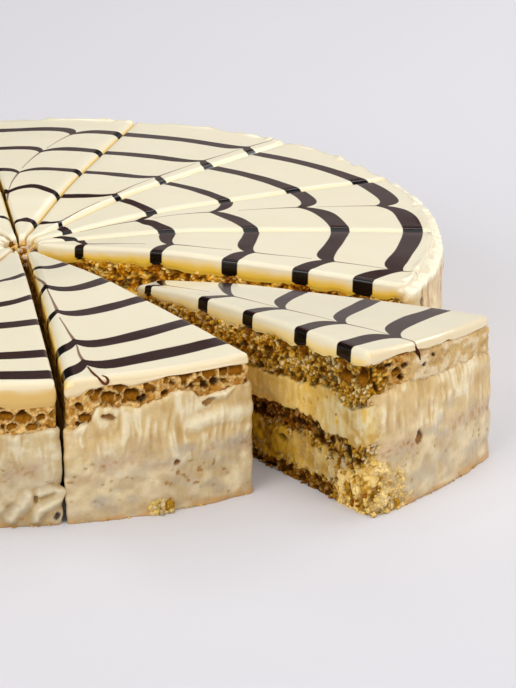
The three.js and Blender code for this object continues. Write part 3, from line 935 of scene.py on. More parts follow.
def strip_quads(columns, rows, closed_columns=False, closed_rows=False):
    """Quads of a band whose vertex (i, j) has the index i * rows + j. A closed band meets its own start."""
    i = np.arange(columns if closed_columns else columns - 1)[:, None]
    j = np.arange(rows if closed_rows else rows - 1)[None, :]
    here, after = i * rows, (i + 1) % columns * rows
    above = (j + 1) % rows
    return np.stack([here + j, after + j, after + above, here + above], axis=-1).reshape(-1, 4)


def fan(loop, middle, upwards):
    following = np.roll(loop, -1)
    middles = np.full(len(loop), middle)
    return np.stack([loop, following, middles] if upwards else [following, loop, middles], axis=1)


MIDDLE = (CAKE_RADIUS * 0.62, 0.0)
# The boundaries below and above each layer, and its slot
LAYER_KINDS = {
    "base": (0, 1, "sponge"), "cream_lower": (1, 2, "cream"), "sponge_middle": (2, 3, "sponge"),
    "cream_upper": (3, 4, "cream"), "sponge_top": (4, 5, "sponge"), "filling": (1, 4, "cream")}
FEWEST_ROWS = 4
END_CRUMB = 0.5


def layer_object(wedge, layer, line, heights, row_spacing, materials):
    """The side sheet of one layer, closed above and below. The ends have their own corner points."""
    low, high, slot = LAYER_KINDS[layer]
    bottom, top = heights[low], heights[high]
    rows = max(FEWEST_ROWS, int(round(np.mean(top - bottom) / row_spacing)) + 1)
    z = blend(bottom[:, None], top[:, None], np.linspace(0, 1, rows)[None, :])
    field = Field(wedge, np.broadcast_to(line.along[:, None], z.shape), z)
    relief, colour, crumb = side_surface(wedge, line, heights, field)
    hidden = [(line.side == side) & (not is_open) for side, is_open in zip((-1, 1), wedge.open)]
    relief = np.where((np.any(hidden, axis=0) & (line.on_rim < 0.5))[:, None], 0.0, relief)
    relief = np.maximum(relief, -line.room[:, None])
    x = line.x[:, None] + line.nx[:, None] * relief
    y = line.y[:, None] + line.ny[:, None] * relief
    columns = len(line.x)
    middles = ([MIDDLE[0]] * 2, [MIDDLE[1]] * 2, [np.mean(bottom), np.mean(top)])
    points = [
        np.concatenate([values.ravel(), values[:, 0], values[:, -1], middle])
        for values, middle in zip((x, y, z), middles)]
    loop = columns * rows + np.arange(columns)
    middle = columns * (rows + 2)
    triangles = np.concatenate([fan(loop, middle, False), fan(loop + columns, middle + 1, True)])
    ends = (colour[:, 0], colour[:, -1])
    tint = np.concatenate([colour.reshape(-1, 3), *ends, *(end.mean(0)[None] for end in ends)])
    crumb = np.concatenate([crumb.ravel(), crumb[:, 0], crumb[:, -1], [END_CRUMB] * 2])
    make_piece(
        wedge, layer, points, strip_quads(columns, rows, closed_columns=True), triangles,
        {"tint": tint, "crumb": crumb}, materials[slot], True)


# The coat's own sheet: its thickness, how far it reaches behind, and how far it wraps round the corners
COAT_THICKNESS = 0.9
COAT_BEHIND = 0.7
COAT_BACK = 0.3
COAT_DEEPEST = 0.6
COAT_END_ROLL = 1.1
COAT_WRAP_OPEN = 4.0
COAT_WRAP_CLOSED = 1.4
COAT_WRAP_WIDE = 2.4
COAT_RAGGED_END = 0.9
STREAKS_FRONT = 0.9
STREAKS_REST = 0.35


def coat_wrap(wedge, side):
    if wedge.open[side > 0]:
        return COAT_WRAP_OPEN
    return COAT_WRAP_WIDE if wedge.gaps[side > 0] == WIDE_CUT_GAP else COAT_WRAP_CLOSED


def finished_coat(wedge, line, field, top):
    """Relief and colour of a wedge's coat with all its marks, and the share of it that has crumbled."""
    relief, colour = coat_surface(field)
    kinds = ("grey", "crater", "bubble", "hole", "fleck")
    relief, colour = apply_marks(wedge, line, field, relief, colour, kinds)
    relief, colour = apply_folds(wedge, line, field, relief, colour)
    crumbled = crumbled_share(wedge, line, field)
    broken_relief, broken_colour = crumble_surface(field)
    # Painted shade: the coat of some wedges is darkened as a whole.
    colour = painted(colour * wedge.coat_tone, (painted(broken_colour, (CREAM, 0.4)), 0.85 * crumbled))
    if wedge.streaked:
        streaks = ease(field.wave(1.5, 26.0, 45), 0.1, 0.6) * ease(field.z, 20.0, 34.0)
        colour = painted(
            colour, (COAT_STREAK, streaks * (STREAKS_FRONT if wedge.front else STREAKS_REST)),
            (COAT_WHITE, ease(field.z - top[:, None], -3.0, -0.8)))
    return blend(relief, broken_relief, crumbled), colour, crumbled


def coat_cover(wedge, line, field, top, start, end):
    """Share of the coat's thickness, which falls to nothing at its top, its ends and the broken corner."""
    s, z = field.s, field.z
    ragged = COAT_RAGGED_END * (1 + layered_noise(z / 4.0, s / 30.0, field.seed + 44, 3))
    to_ends = np.minimum(s - start - ragged * wedge.open[0], end - ragged * wedge.open[1] - s)
    cover = rolled(top[:, None] - z, wedge.coat_roll) * rolled(to_ends, COAT_END_ROLL)
    if wedge.drawn:
        cover = cover * ease(s - line.rim_start + 5.0 * field.cloud(9.0, 4.0, 59, 3), -3.0, 7.0)
    return cover


def coat_object(wedge, line, row_spacing, material):
    """The cream coat: one thin sheet over the outer side, which ends raggedly round the open corners."""
    start = line.rim_start - coat_wrap(wedge, -1)
    end = line.rim_end + coat_wrap(wedge, 1)
    shown = (line.along > start) & (line.along < end) & (line.side != TIP_SIDE)
    part = SimpleNamespace(**{
        key: value[shown] if isinstance(value, np.ndarray) else value for key, value in vars(line).items()})
    top = coat_edge(wedge, part)
    rows = int(round(np.mean(top) / row_spacing)) + 1
    z = top[:, None] * np.linspace(0, 1, rows)[None, :]
    field = Field(wedge, np.broadcast_to(part.along[:, None], z.shape), z)
    relief, colour, crumbled = finished_coat(wedge, line, field, top)
    proud = wedge.proud * ease(z, 0.0, PROUD_HEIGHT)
    cover = coat_cover(wedge, line, field, top, start, end)
    outer = (np.maximum(relief, -COAT_DEEPEST) + proud + COAT_THICKNESS + COAT_BEHIND) * cover - COAT_BEHIND

    # The back of the sheet has two points for each column, one at the top and one at the bottom
    columns = len(part.along)
    nothing = np.zeros((columns, 1))
    back = nothing - COAT_BEHIND - COAT_BACK
    offset = np.concatenate([outer, back, back], axis=1)
    x = part.x[:, None] + part.nx[:, None] * offset
    y = part.y[:, None] + part.ny[:, None] * offset
    z = np.concatenate([z, top[:, None], nothing], axis=1)
    tint = np.concatenate([colour, colour[:, :1], colour[:, :1]], axis=1)
    dry = np.concatenate([crumbled, nothing, nothing], axis=1)
    ring = np.arange(rows + 2)
    cap = np.stack([ring[:-2], ring[1:-1], np.full(rows, ring[-1])], axis=1)
    triangles = np.concatenate([cap, cap[:, [1, 0, 2]] + (columns - 1) * (rows + 2)])
    quads = strip_quads(columns, rows + 2, closed_rows=True)
    make_piece(
        wedge, "coat", [x.ravel(), y.ravel(), z.ravel()], quads, triangles,
        {"tint": tint.reshape(-1, 3), "crumb": dry.ravel()}, material, False)


# The chocolate web: ring radii as shares of the cake's radius, by angle

WEB_RINGS = {
    -95: (0.33, 0.52, 0.66, 0.84, 0.95),
    -87: (0.32, 0.51, 0.655, 0.84, 0.95),
    -78: (0.26, 0.45, 0.63, 0.83, 0.955),
    -68: (0.26, 0.45, 0.605, 0.795, 0.918),
    -56: (0.24, 0.42, 0.578, 0.764, 0.90),
    -52: (0.18, 0.41, 0.582, 0.772, 0.92),
    -47: (0.18, 0.415, 0.573, 0.752, 0.908),
    -39: (0.175, 0.385, 0.552, 0.733, 0.885),
    -34: (0.17, 0.36, 0.543, 0.723, 0.875),
    -27: (0.165, 0.34, 0.536, 0.714, 0.885),
    -23: (0.15, 0.368, 0.561, 0.741, 0.893),
    -16: (0.14, 0.355, 0.555, 0.755, 0.93),
    0: (0.135, 0.36, 0.565, 0.78, 0.955),
    14: (0.12, 0.33, 0.515, 0.745, 0.94),
    25: (0.125, 0.35, 0.55, 0.74, 0.93),
    48: (0.13, 0.35, 0.515, 0.69, 0.86),
    76: (0.13, 0.31, 0.50, 0.68, 0.86),
    90: (0.16, 0.38, 0.52, 0.71, 0.89),
    130: (0.17, 0.36, 0.54, 0.72, 0.89),
    190: (0.22, 0.41, 0.58, 0.76, 0.91),
    240: (0.28, 0.46, 0.62, 0.80, 0.93),
}
RING_HALF_WIDTHS = (2.2, 2.6, 2.8, 3.1, 3.5)
RINGS = range(len(RING_HALF_WIDTHS))
RING_WOBBLE = 0.3
WEB_SMOOTHING = 1.6
FAR_SLIMNESS = 0.25
FEATHER_START = 0.25
CUSP_WIDTH = 3.2
CUSP_SLIMNESS = 0.3
TAIL_LENGTH = 22.0
TAIL_HALF_WIDTH = 0.55
TAIL_END = 0.2
FAR_AWAY = 99.0


def ring_radius(ring, angle):
    angles = np.array(list(WEB_RINGS))
    radii = np.array([row[ring] for row in WEB_RINGS.values()]) * CAKE_RADIUS
    turns = (-WEB_SMOOTHING, 0.0, WEB_SMOOTHING)
    return sum(np.interp(angle + turn, angles, radii, period=360) for turn in turns) / len(turns)


def feather_angle(wedge, radius):
    """Angle of the wedge's feather from its middle line, or the middle line itself where it has none."""
    if not wedge.feather:
        return np.zeros(np.shape(radius))
    inner, outer = wedge.feather[:2]
    share = (radius / CAKE_RADIUS - FEATHER_START) / (1 - FEATHER_START)
    sway = wedge.feather_sway * smooth_noise(radius / 11.0, 0.5, wedge.seed + 62)
    turn = np.radians(inner + (outer - inner) * share) + sway / np.maximum(radius, 5.0) - wedge.direction
    return (turn + math.pi) % (2 * math.pi) - math.pi


def web_fields(wedge, x, y):
    """Distance into the nearest ring, offset from the feather, and the feather's half width."""
    radius = np.hypot(x, y)
    angle = np.degrees(np.arctan2(y, x) + wedge.direction)
    offset = np.full(radius.shape, FAR_AWAY)
    way, pull = 1, 0
    if wedge.feather:
        offset = (np.arctan2(y, x) - feather_angle(wedge, radius)) * radius
        way, pull = wedge.feather[2:]
    ring_depth = np.full(radius.shape, -FAR_AWAY)
    tail = np.full(radius.shape, -1.0)
    slimmer = 1 - FAR_SLIMNESS * ease(np.sin(np.radians(angle)), 0.25, 0.7)
    cusp = np.exp(-np.abs(offset) / CUSP_WIDTH)
    for ring, width in zip(RINGS, RING_HALF_WIDTHS):
        half_width = width * slimmer
        middle = ring_radius(ring, angle)
        wobble = RING_WOBBLE * smooth_noise(angle / 5.0, ring * 3.0, 61)
        slim = half_width * (1 - CUSP_SLIMNESS * cusp) + wobble
        ring_depth = np.maximum(ring_depth, slim - np.abs(radius - middle - way * pull * cusp))
        beyond = way * (radius - middle) - pull
        taper = 1 - np.clip(beyond / TAIL_LENGTH, 0, 1)
        tail_width = (TAIL_END + (TAIL_HALF_WIDTH - TAIL_END) * taper ** 2) * wedge.feather_width
        shown = (beyond > -0.5 * half_width) & (beyond < TAIL_LENGTH)
        tail = np.maximum(tail, np.where(shown, tail_width, -1.0))
    return ring_depth, offset, tail


# The glaze. Each shoulder has a reach and a fall.

SHOULDER_STEPS = np.array([0.0, 0.06, 0.16, 0.30, 0.48, 0.72, 1.0])
NEAR_SHOULDER = (1.7, 1.3)
FAR_SHOULDER = (1.5, 1.0)
CLOSED_NEAR_SHOULDER = (3.0, 2.5)
CLOSED_FAR_SHOULDER = (1.2, 0.8)
RIM_SHOULDER = (3.4, 0.4)
RIM_ROUND = (1.5, 1.2)
TIP_SHOULDER = (3.0, 1.0)
SHOULDER_SHARE = 0.28
DEEPEST_FALL = 3.1
RIM_THINNING = 0.3
RIM_THINNING_REACH = 34.0
PLAN_CORNER = 3.4
CORNER_SIZE = 1.1
RIM_SPONGE_TOP = CAKE_HEIGHT - RIM_SHOULDER[1] - RIM_ROUND[1] - RIM_THINNING - 1.0
GLAZE_BULGE = 0.15
GLAZE_TUCK = 0.5
THINNEST_GLAZE = 0.6
BULGE_REACH = 25.0
SIDE_ROWS = 11
INNER_STEPS = 13
CLUSTERING = 1.6
SPLIT_MARGIN = 0.1
HANG = 0.9
BLOCK_LIFT = 0.9
TIP_GOLD = 0.25


def rim_glaze_edge(wedge, place):
    return at_bends(place, wedge.glaze_edge) + 0.8 * layered_noise(place / 3.4, 0.5, wedge.seed + 77, 3)


def shoulders(wedge):
    near = NEAR_SHOULDER if wedge.open[0] else CLOSED_NEAR_SHOULDER
    far = FAR_SHOULDER if wedge.open[1] else CLOSED_FAR_SHOULDER
    return near, far


def glaze_radii(tip, spacing):
    inner = np.arange(tip + spacing, CAKE_RADIUS - 1.15 * RIM_SHOULDER[0], spacing)
    return np.concatenate([[tip], inner, CAKE_RADIUS - RIM_SHOULDER[0] * SHOULDER_STEPS[::-1]])


def rounded_corner(from_side, from_rim, size):
    """Moves grid points near a square corner so that the corner becomes a quarter round."""
    a = np.clip(size - from_side, 0, None)
    b = np.clip(size - from_rim, 0, None)
    scale = np.maximum(a, b) / np.maximum(np.hypot(a, b), 1e-9)
    inside = (a > 0) & (b > 0)
    return np.where(inside, size - a * scale, from_side), np.where(inside, size - b * scale, from_rim)


def glaze_top_grid(wedge, spacing):
    """Rows of points across the wedge, close together at the edges and at the feather."""
    tip = (wedge.tip_half_width + max(wedge.gaps) / 2) / math.sin(wedge.half)
    radii = glaze_radii(tip, spacing)
    near, far = (
        side * (wedge.half - np.arcsin(np.minimum(gap / 2 / radii, 0.9)))
        for side, gap in zip((-1, 1), wedge.gaps))
    width = (far - near) * radii
    reach = [np.minimum(shoulder[0], width * SHOULDER_SHARE)[:, None] for shoulder in shoulders(wedge)]
    near_edge = SHOULDER_STEPS[None, :] * reach[0]
    far_edge = width[:, None] - SHOULDER_STEPS[None, ::-1] * reach[1]
    split = (feather_angle(wedge, radii) - near) * radii
    margin = SPLIT_MARGIN * width
    split = np.clip(split, reach[0][:, 0] + margin, width - reach[1][:, 0] - margin)[:, None]
    share = (np.arange(1, INNER_STEPS) / INNER_STEPS)[None, :]
    left = split - (split - near_edge[:, -1:]) * (1 - share) ** CLUSTERING
    right = split + (far_edge[:, :1] - split) * share ** CLUSTERING
    across = np.concatenate([near_edge, left, split, right, far_edge], axis=1)
    width = width[:, None]
    from_rim = CAKE_RADIUS - radii[:, None] + np.zeros_like(across)
    gaps = SimpleNamespace(
        near=across, far=width - across, rim=from_rim, tip=radii[:, None] - tip, reach=reach)
    moved, from_rim = rounded_corner(across, from_rim, CORNER_SIZE * corner_rounding(wedge, -1))
    moved, from_rim = rounded_corner(width - moved, from_rim, CORNER_SIZE * corner_rounding(wedge, 1))
    moved = width - moved
    angle = near[:, None] + moved / radii[:, None]
    return CAKE_RADIUS - from_rim, angle, moved, gaps


def shoulder_fall(gap, reach, fall):
    gone = np.clip(1 - gap / reach, 0, 1)
    return fall * (1 - np.sqrt(1 - gone ** 2))


def glaze_top_height(wedge, x, y, gaps):
    cut_fall = sum(
        shoulder_fall(gap, reach, shoulder[1])
        for gap, reach, shoulder in zip((gaps.near, gaps.far), gaps.reach, shoulders(wedge)))
    rim_fall = shoulder_fall(gaps.rim, *RIM_SHOULDER) + shoulder_fall(gaps.rim, *RIM_ROUND)
    end_fall = np.maximum(rim_fall, shoulder_fall(gaps.tip, *TIP_SHOULDER))
    fall = np.minimum(np.hypot(cut_fall, end_fall), DEEPEST_FALL)
    ripple = 0.12 * layered_noise(x / 14.0, y / 14.0, wedge.seed + 71, 2)
    arc = (np.arctan2(y, x) + wedge.direction) * CAKE_RADIUS
    lumps = 0.3 + 0.9 * layered_noise(arc / 2.8, gaps.rim / 4.0, 73, 3)
    bead = wedge.bead * lumps * hump(gaps.rim, 1.0, 1.6)
    thinning = RIM_THINNING * ease(-gaps.rim, -RIM_THINNING_REACH, 0.0)
    return boundary_height(CAKE_HEIGHT, x, y, 0.0, 0.0) + ripple + bead - fall - thinning


def glaze_edge(wedge, x, y, top, moved):
    """The outline of the glaze's top, anticlockwise from the tip, with what the side below it needs."""
    rows, columns = x.shape
    grid = np.arange(rows * columns).reshape(rows, columns)
    loop = np.concatenate([grid[:-1, 0], grid[-1, :-1], grid[:0:-1, -1], grid[0, :0:-1]])
    points = np.stack([x.ravel()[loop], y.ravel()[loop]], axis=1)
    reach = np.hypot(*points.T)
    on_rim = 1 - ease(CAKE_RADIUS - reach, 0.2, PLAN_CORNER)
    shut = [not wedge.open[0], False, not wedge.open[1], not wedge.drawn]
    closed = np.repeat(shut, [rows - 1, columns - 1, rows - 1, columns - 1]) * (1 - on_rim)
    tangent = np.roll(points, -1, axis=0) - np.roll(points, 1, axis=0)
    tangent /= np.maximum(np.linalg.norm(tangent, axis=1), 1e-6)[:, None]
    return SimpleNamespace(
        loop=loop, x=points[:, 0], y=points[:, 1], nx=tangent[:, 1], ny=-tangent[:, 0], top=top.ravel()[loop],
        along=path_lengths(points), reach=reach, on_rim=on_rim, closed=closed, place=moved.ravel()[loop],
        tip_points=columns - 1)


def glaze_lower(wedge, edge):
    """Lower edge of the glaze below each point of its outline."""
    drips = HANG * (1 + layered_noise(edge.along / 6.0, 0.5, wedge.seed + 74, 2))
    lower = boundary_height(SPONGE_TOP_TOP, edge.x, edge.y, edge.along, 0.0)
    lower = lower + ragged_edge(wedge, GLAZE_LEVEL, edge.along) + wedge.glaze_lift - drips
    lower = lower + BLOCK_LIFT * ease(web_fields(wedge, edge.x, edge.y)[0], -2.0, 1.0)
    lower = blend(lower, rim_glaze_edge(wedge, edge.place), edge.on_rim)
    return np.minimum(lower, edge.top - THINNEST_GLAZE)


def side_gold(wedge, edge, z, down):
    """Share of gold on the glaze's side: a stain that grows downwards, with painted shade as gold in closed
    cuts and on the rolled rim.
    """
    uneven = 0.14 * layered_noise(edge.along[:, None] / 4.0, z / 3.0, wedge.seed + 72, 2)
    strength = blend(wedge.gold_cut, wedge.gold_rim, edge.on_rim)[:, None]
    gold = ease(down + uneven + wedge.gold_lift, -0.1, 0.7) * strength
    gold = np.maximum(gold, (at_bends(edge.place, wedge.rolled_gold) * edge.on_rim)[:, None])
    gold = np.maximum(gold, edge.closed[:, None] * ease(down, 0.0, 0.25))
    gold[-edge.tip_points:] *= TIP_GOLD
    return gold


def top_gold(wedge, gaps, moved):
    """Share of gold on the glaze's top, as painted shade on the rolled rim and in closed cuts, and how far
    each point counts as cut.
    """
    near_share = 1 - gaps.near / gaps.reach[0]
    rolling = np.clip(1 - gaps.rim / RIM_SHOULDER[0], 0, 1)
    gold = rolling ** 1.5 * at_bends(moved, wedge.rolled_gold)
    if wedge.open[0]:
        return gold, ease(near_share, 0.45, 0.9)
    return np.maximum(gold, 0.8 * ease(near_share, 0.6, 1.0)), ease(near_share, 0.0, 0.3)


def glaze_object(wedge, spacing, material):
    """The poured glaze: a dished top with rolled shoulders and an uneven lower edge."""
    radii, angle, moved, gaps = glaze_top_grid(wedge, spacing)
    x = radii * np.cos(angle)
    y = radii * np.sin(angle)
    top = glaze_top_height(wedge, x, y, gaps)
    edge = glaze_edge(wedge, x, y, top, moved)
    lower = glaze_lower(wedge, edge)
    down = (np.arange(1, SIDE_ROWS + 1) / SIDE_ROWS)[None, :]
    bulge = GLAZE_BULGE * ease(down, 0.0, 0.5) - GLAZE_TUCK * ease(down, 0.7, 1.0)
    room = np.minimum(1.0, edge.reach / BULGE_REACH) * (1 - edge.closed)
    swell = bulge * room[:, None] + (edge.on_rim * wedge.glaze_proud)[:, None] * ease(down, 0.0, 0.5)
    side_x = edge.x[:, None] + edge.nx[:, None] * swell
    side_y = edge.y[:, None] + edge.ny[:, None] * swell
    side_z = blend(edge.top[:, None], lower[:, None], down)

    count, around = x.size, len(edge.loop)
    under = count + side_z.size
    side = np.concatenate([edge.loop[:, None], np.arange(count, under).reshape(side_z.shape)], axis=1)
    after = np.roll(side, -1, axis=0)
    side_quads = np.stack([side[:, :-1], side[:, 1:], after[:, 1:], after[:, :-1]], axis=-1)
    quads = np.concatenate([strip_quads(*x.shape), side_quads.reshape(-1, 4)])
    bottom = fan(under + np.arange(around), under + around, False)
    sheets = ((x, side_x, MIDDLE[0]), (y, side_y, MIDDLE[1]), (top, side_z, np.mean(lower)))
    points = [
        np.concatenate([over.ravel(), beside.ravel(), beside[:, -1], [middle]])
        for over, beside, middle in sheets]

    web, offset, tail = web_fields(wedge, *points[:2])
    web[count:under] = (web[edge.loop][:, None] - 0.9 * ease(down, 0.75, 1.0)).ravel()
    offset[count:under] = np.repeat(offset[edge.loop], SIDE_ROWS)
    tail[count:under] = np.repeat(blend(-1.0, tail[edge.loop], edge.on_rim), SIDE_ROWS)
    gold, cut = top_gold(wedge, gaps, moved)
    rest = np.ones(around + 1)
    gold = np.concatenate([gold.ravel(), side_gold(wedge, edge, side_z, down).ravel(), rest])
    cut = np.concatenate([cut.ravel(), np.repeat(1 - edge.on_rim, SIDE_ROWS), rest])
    layers = {"web": web, "offset": offset, "tail": tail, "gold": gold, "side": cut}
    make_piece(wedge, "glaze", points, quads, bottom, layers, material, True)


# Small pieces: crumbs, lumps of cream and runs of chocolate

LUMP_RINGS = 6
LUMP_SIDES = 9
NO_TRIANGLES = np.zeros((0, 3), int)
LOWEST = 0.05
SMALL_CRUMB = 0.7


def rim_point(wedge, place, out):
    """A point in the wedge's own frame, out from its rim, by the place along the rim."""
    angle = -wedge.half + math.asin(wedge.gaps[0] / 2 / CAKE_RADIUS) + place / CAKE_RADIUS
    radius = CAKE_RADIUS + out
    return radius * np.cos(angle), radius * np.sin(angle)


def near_point(wedge, reach, out):
    """A point in the wedge's own frame, out from its clockwise cut, by the distance from the apex."""
    cos, sin = math.cos(wedge.half), math.sin(wedge.half)
    return reach * cos - out * sin, -reach * sin - out * cos


def lump_mesh(middle, size, chance):
    """One crumb: a rough, uneven lump."""
    turn = np.linspace(0, 2 * math.pi, LUMP_SIDES, endpoint=False)[:, None]
    rise = np.linspace(-math.pi / 2, math.pi / 2, LUMP_RINGS)[None, :]
    ball = np.stack(
        [np.cos(turn) * np.cos(rise), np.sin(turn) * np.cos(rise), np.sin(rise) + 0 * turn], axis=-1)
    rough = chance.uniform(0.55, 1.3, ball.shape[:2])
    rough[:, 0] = rough[0, 0]
    rough[:, -1] = rough[0, -1]
    stretch = chance.uniform(0.7, 1.3, 3)
    points = ball * rough[..., None] * stretch * size + np.asarray(middle)
    return points.reshape(-1, 3), strip_quads(LUMP_SIDES, LUMP_RINGS, closed_columns=True), NO_TRIANGLES


STRAND_SIDES = 10
STRAND_SEED = 30
STEPS_PER_MM = 2.5
STRAND_ROUGHNESS = 0.22
# A direction that no strand runs in
ASLANT = (0.31, 0.52, 0.79)


def tube_mesh(path, radii, seed):
    """A soft round strand along a path of points, thin at both ends."""
    path = np.asarray(path, float)
    length = path_lengths(path)
    count = max(6, int(length[-1] * STEPS_PER_MM))
    at = np.linspace(0, length[-1], count)
    middle = np.stack([np.interp(at, length, path[:, axis]) for axis in range(3)], axis=1)
    for _ in range(3):
        middle[1:-1] = (middle[:-2] + 2 * middle[1:-1] + middle[2:]) / 4
    ahead = np.gradient(middle, axis=0)
    ahead /= np.linalg.norm(ahead, axis=1)[:, None]
    across = np.cross(ahead, ASLANT)
    across /= np.linalg.norm(across, axis=1)[:, None]
    upright = np.cross(ahead, across)
    thick = np.interp(at, np.linspace(0, length[-1], len(radii)), radii)
    ends = rolled(np.minimum(at, length[-1] - at) + 0.05, max(radii))
    turn = np.linspace(0, 2 * math.pi, STRAND_SIDES, endpoint=False)
    rough = 1 + STRAND_ROUGHNESS * smooth_noise(at[:, None] / 1.5, turn[None, :] * 0.6, seed)
    size = (thick * ends)[:, None] * rough
    points = middle[:, None] + across[:, None] * (np.cos(turn) * size)[..., None]
    points = points + upright[:, None] * (np.sin(turn) * size)[..., None]
    quads = strip_quads(count, STRAND_SIDES, closed_rows=True)[:, ::-1]
    cap = np.array([[0, k + 1, k] for k in range(1, STRAND_SIDES - 1)])
    triangles = np.concatenate([cap, cap[:, [0, 2, 1]] + (count - 1) * STRAND_SIDES])
    return points.reshape(-1, 3), quads, triangles


def small_pieces(wedge, piece, shapes, material):
    """Joins small shapes of one wedge, each with its own colour, into one object."""
    meshes, colours = zip(*shapes)
    sizes = [len(points) for points, _, _ in meshes]
    starts = np.cumsum([0, *sizes])
    points = np.concatenate([points for points, _, _ in meshes])
    points[:, 2] = np.maximum(points[:, 2], LOWEST)
    quads = np.concatenate([quads + start for (_, quads, _), start in zip(meshes, starts)])
    triangles = np.concatenate([triangles + start for (_, _, triangles), start in zip(meshes, starts)])
    layers = {"tint": np.repeat(colours, sizes, axis=0), "crumb": np.full(len(points), SMALL_CRUMB)}
    make_piece(wedge, piece, points.T, quads, triangles, layers, material, False)


CRUMB_COLOURS = {
    "near": (SPONGE_BROWN, CRUMBLE_GOLD, CRUMBLE_GOLD, CRUMBLE_PALE),
    "rim": (CRUMBLE_GOLD, CRUMBLE_PALE, CRUMBLE_PALE, COAT)}
CRUMB_SEED = 500

# Patches of loose crumb: wedge, face, first and last place, top height, number, smallest and largest size
CRUMB_PATCHES = (
    ("slice_13", "rim", 24.4, 31.0, 4.6, 60, 0.6, 1.6),
    ("slice_13", "rim", 2.0, 56.0, 0.4, 12, 0.25, 0.5),
    ("drawn", "near", 122.0, 139.0, 14.0, 46, 0.3, 0.9),
    ("drawn", "near", 30.0, 138.0, 0.8, 30, 0.25, 0.6),
    ("drawn", "rim", 1.0, 13.0, 10.0, 36, 0.3, 0.9),
    ("drawn", "rim", 3.0, 58.0, 0.4, 14, 0.25, 0.5),
    ("slice_12", "rim", 42.0, 60.0, 0.6, 8, 0.25, 0.5),
    ("slice_01", "near", 60.0, 138.0, 0.8, 20, 0.25, 0.6),
)


def crumb_patch(wedge, face, first, last, top, count, small, large, seed):
    chance = np.random.default_rng(seed)
    shapes = []
    for _ in range(count):
        place = chance.uniform(first, last)
        size = small + (large - small) * chance.random() ** 2
        z = top * chance.random() ** 1.8
        out = size * chance.uniform(-0.3, 0.5)
        x, y = rim_point(wedge, place, out + 1.0) if face == "rim" else near_point(wedge, place, out)
        mesh = lump_mesh((x, y, max(z, 0.5 * size)), size, chance)
        colour = CRUMB_COLOURS[face][chance.integers(4)] * chance.uniform(0.7, 1.0)
        shapes.append((mesh, colour))
    return shapes


# Lumps of cream and crumb where the tips of the ring meet
MIDDLE_LUMPS = 110
MIDDLE_REACH = 6.0
MIDDLE_HEIGHTS = (34.0, 39.0)
MIDDLE_SIZES = (0.6, 1.5)
MIDDLE_COLOURS = (COAT_LIGHT, COAT, COAT_PINK, NUT_PINK, SPONGE_BROWN, CRUMBLE_DARK)
MIDDLE_SEED = 600


def middle_lumps():
    chance = np.random.default_rng(MIDDLE_SEED)
    shapes = []
    for _ in range(MIDDLE_LUMPS):
        turn = chance.uniform(0, 2 * math.pi)
        reach = MIDDLE_REACH * math.sqrt(chance.random())
        middle = (reach * math.cos(turn), reach * math.sin(turn), chance.uniform(*MIDDLE_HEIGHTS))
        mesh = lump_mesh(middle, chance.uniform(*MIDDLE_SIZES), chance)
        shapes.append((mesh, MIDDLE_COLOURS[chance.integers(len(MIDDLE_COLOURS))]))
    return shapes


# Runs of chocolate on the rims: wedge, colour and radii, then place, height and distance out for each bend
STRANDS = (
    ("drawn", CHOCOLATE_RUN, (0.5, 0.6, 0.5, 0.35),
     ((18.2, 45.0, -2.4), (18.9, 43.6, -0.1), (19.7, 41.6, 0.5), (20.4, 39.6, 0.3))),
    ("slice_13", CHOCOLATE_CURL, (0.3, 0.3, 0.35, 0.4, 0.4, 0.3),
     ((8.6, 45.3, -10.0), (8.9, 45.3, -6.0), (9.4, 45.3, -3.0), (10.0, 45.1, -1.2), (10.7, 44.3, 0.0),
      (11.5, 43.4, 0.5), (12.6, 43.5, 0.5), (13.0, 44.4, 0.0), (12.4, 45.0, -1.0), (11.4, 45.2, -2.0))),
)


def make_small_pieces(wedges, materials):
    by_name = {wedge.name: wedge for wedge in wedges}
    crumbs = {}
    for index, (name, *patch) in enumerate(CRUMB_PATCHES):
        crumbs.setdefault(name, []).extend(crumb_patch(by_name[name], *patch, seed=CRUMB_SEED + index))
    for name, shapes in crumbs.items():
        small_pieces(by_name[name], "crumbs", shapes, materials["sponge"])
    small_pieces(by_name["slice_13"], "middle", middle_lumps(), materials["cream"])
    for index, (name, colour, radii, bends) in enumerate(STRANDS):
        wedge = by_name[name]
        path = [(*rim_point(wedge, place, out), z) for place, z, out in bends]
        shape = (tube_mesh(path, radii, STRAND_SEED + index), colour)
        small_pieces(wedge, f"strand_{index + 1}", [shape], materials["cream"])


# Materials

def new_material(name):
    material = bpy.data.materials.new(name)
    material.use_nodes = True
    tree = material.node_tree
    return material, tree, tree.nodes["Principled BSDF"]


def set_inputs(node, values):
    for key, value in values.items():
        node.inputs[key].default_value = value


def attribute_node(tree, name):
    node = tree.nodes.new("ShaderNodeAttribute")
    node.attribute_name = name
    return node


def noise_node(tree, scale, detail):
    place = tree.nodes.new("ShaderNodeTexCoord")
    noise = tree.nodes.new("ShaderNodeTexNoise")
    set_inputs(noise, {"Scale": scale, "Detail": detail})
    tree.links.new(place.outputs["Object"], noise.inputs["Vector"])
    return noise.outputs["Fac"]


def range_node(tree, source, low, high, to_low, to_high):
    node = tree.nodes.new("ShaderNodeMapRange")
    set_inputs(node, {"From Min": low, "From Max": high, "To Min": to_low, "To Max": to_high})
    tree.links.new(source, node.inputs["Value"])
    return node.outputs["Result"]


def math_node(tree, operation, *sources):
    node = tree.nodes.new("ShaderNodeMath")
    node.operation = operation
    for source, socket in zip(sources, node.inputs):
        if isinstance(source, bpy.types.NodeSocket):
            tree.links.new(source, socket)
        else:
            socket.default_value = source
    return node.outputs[0]


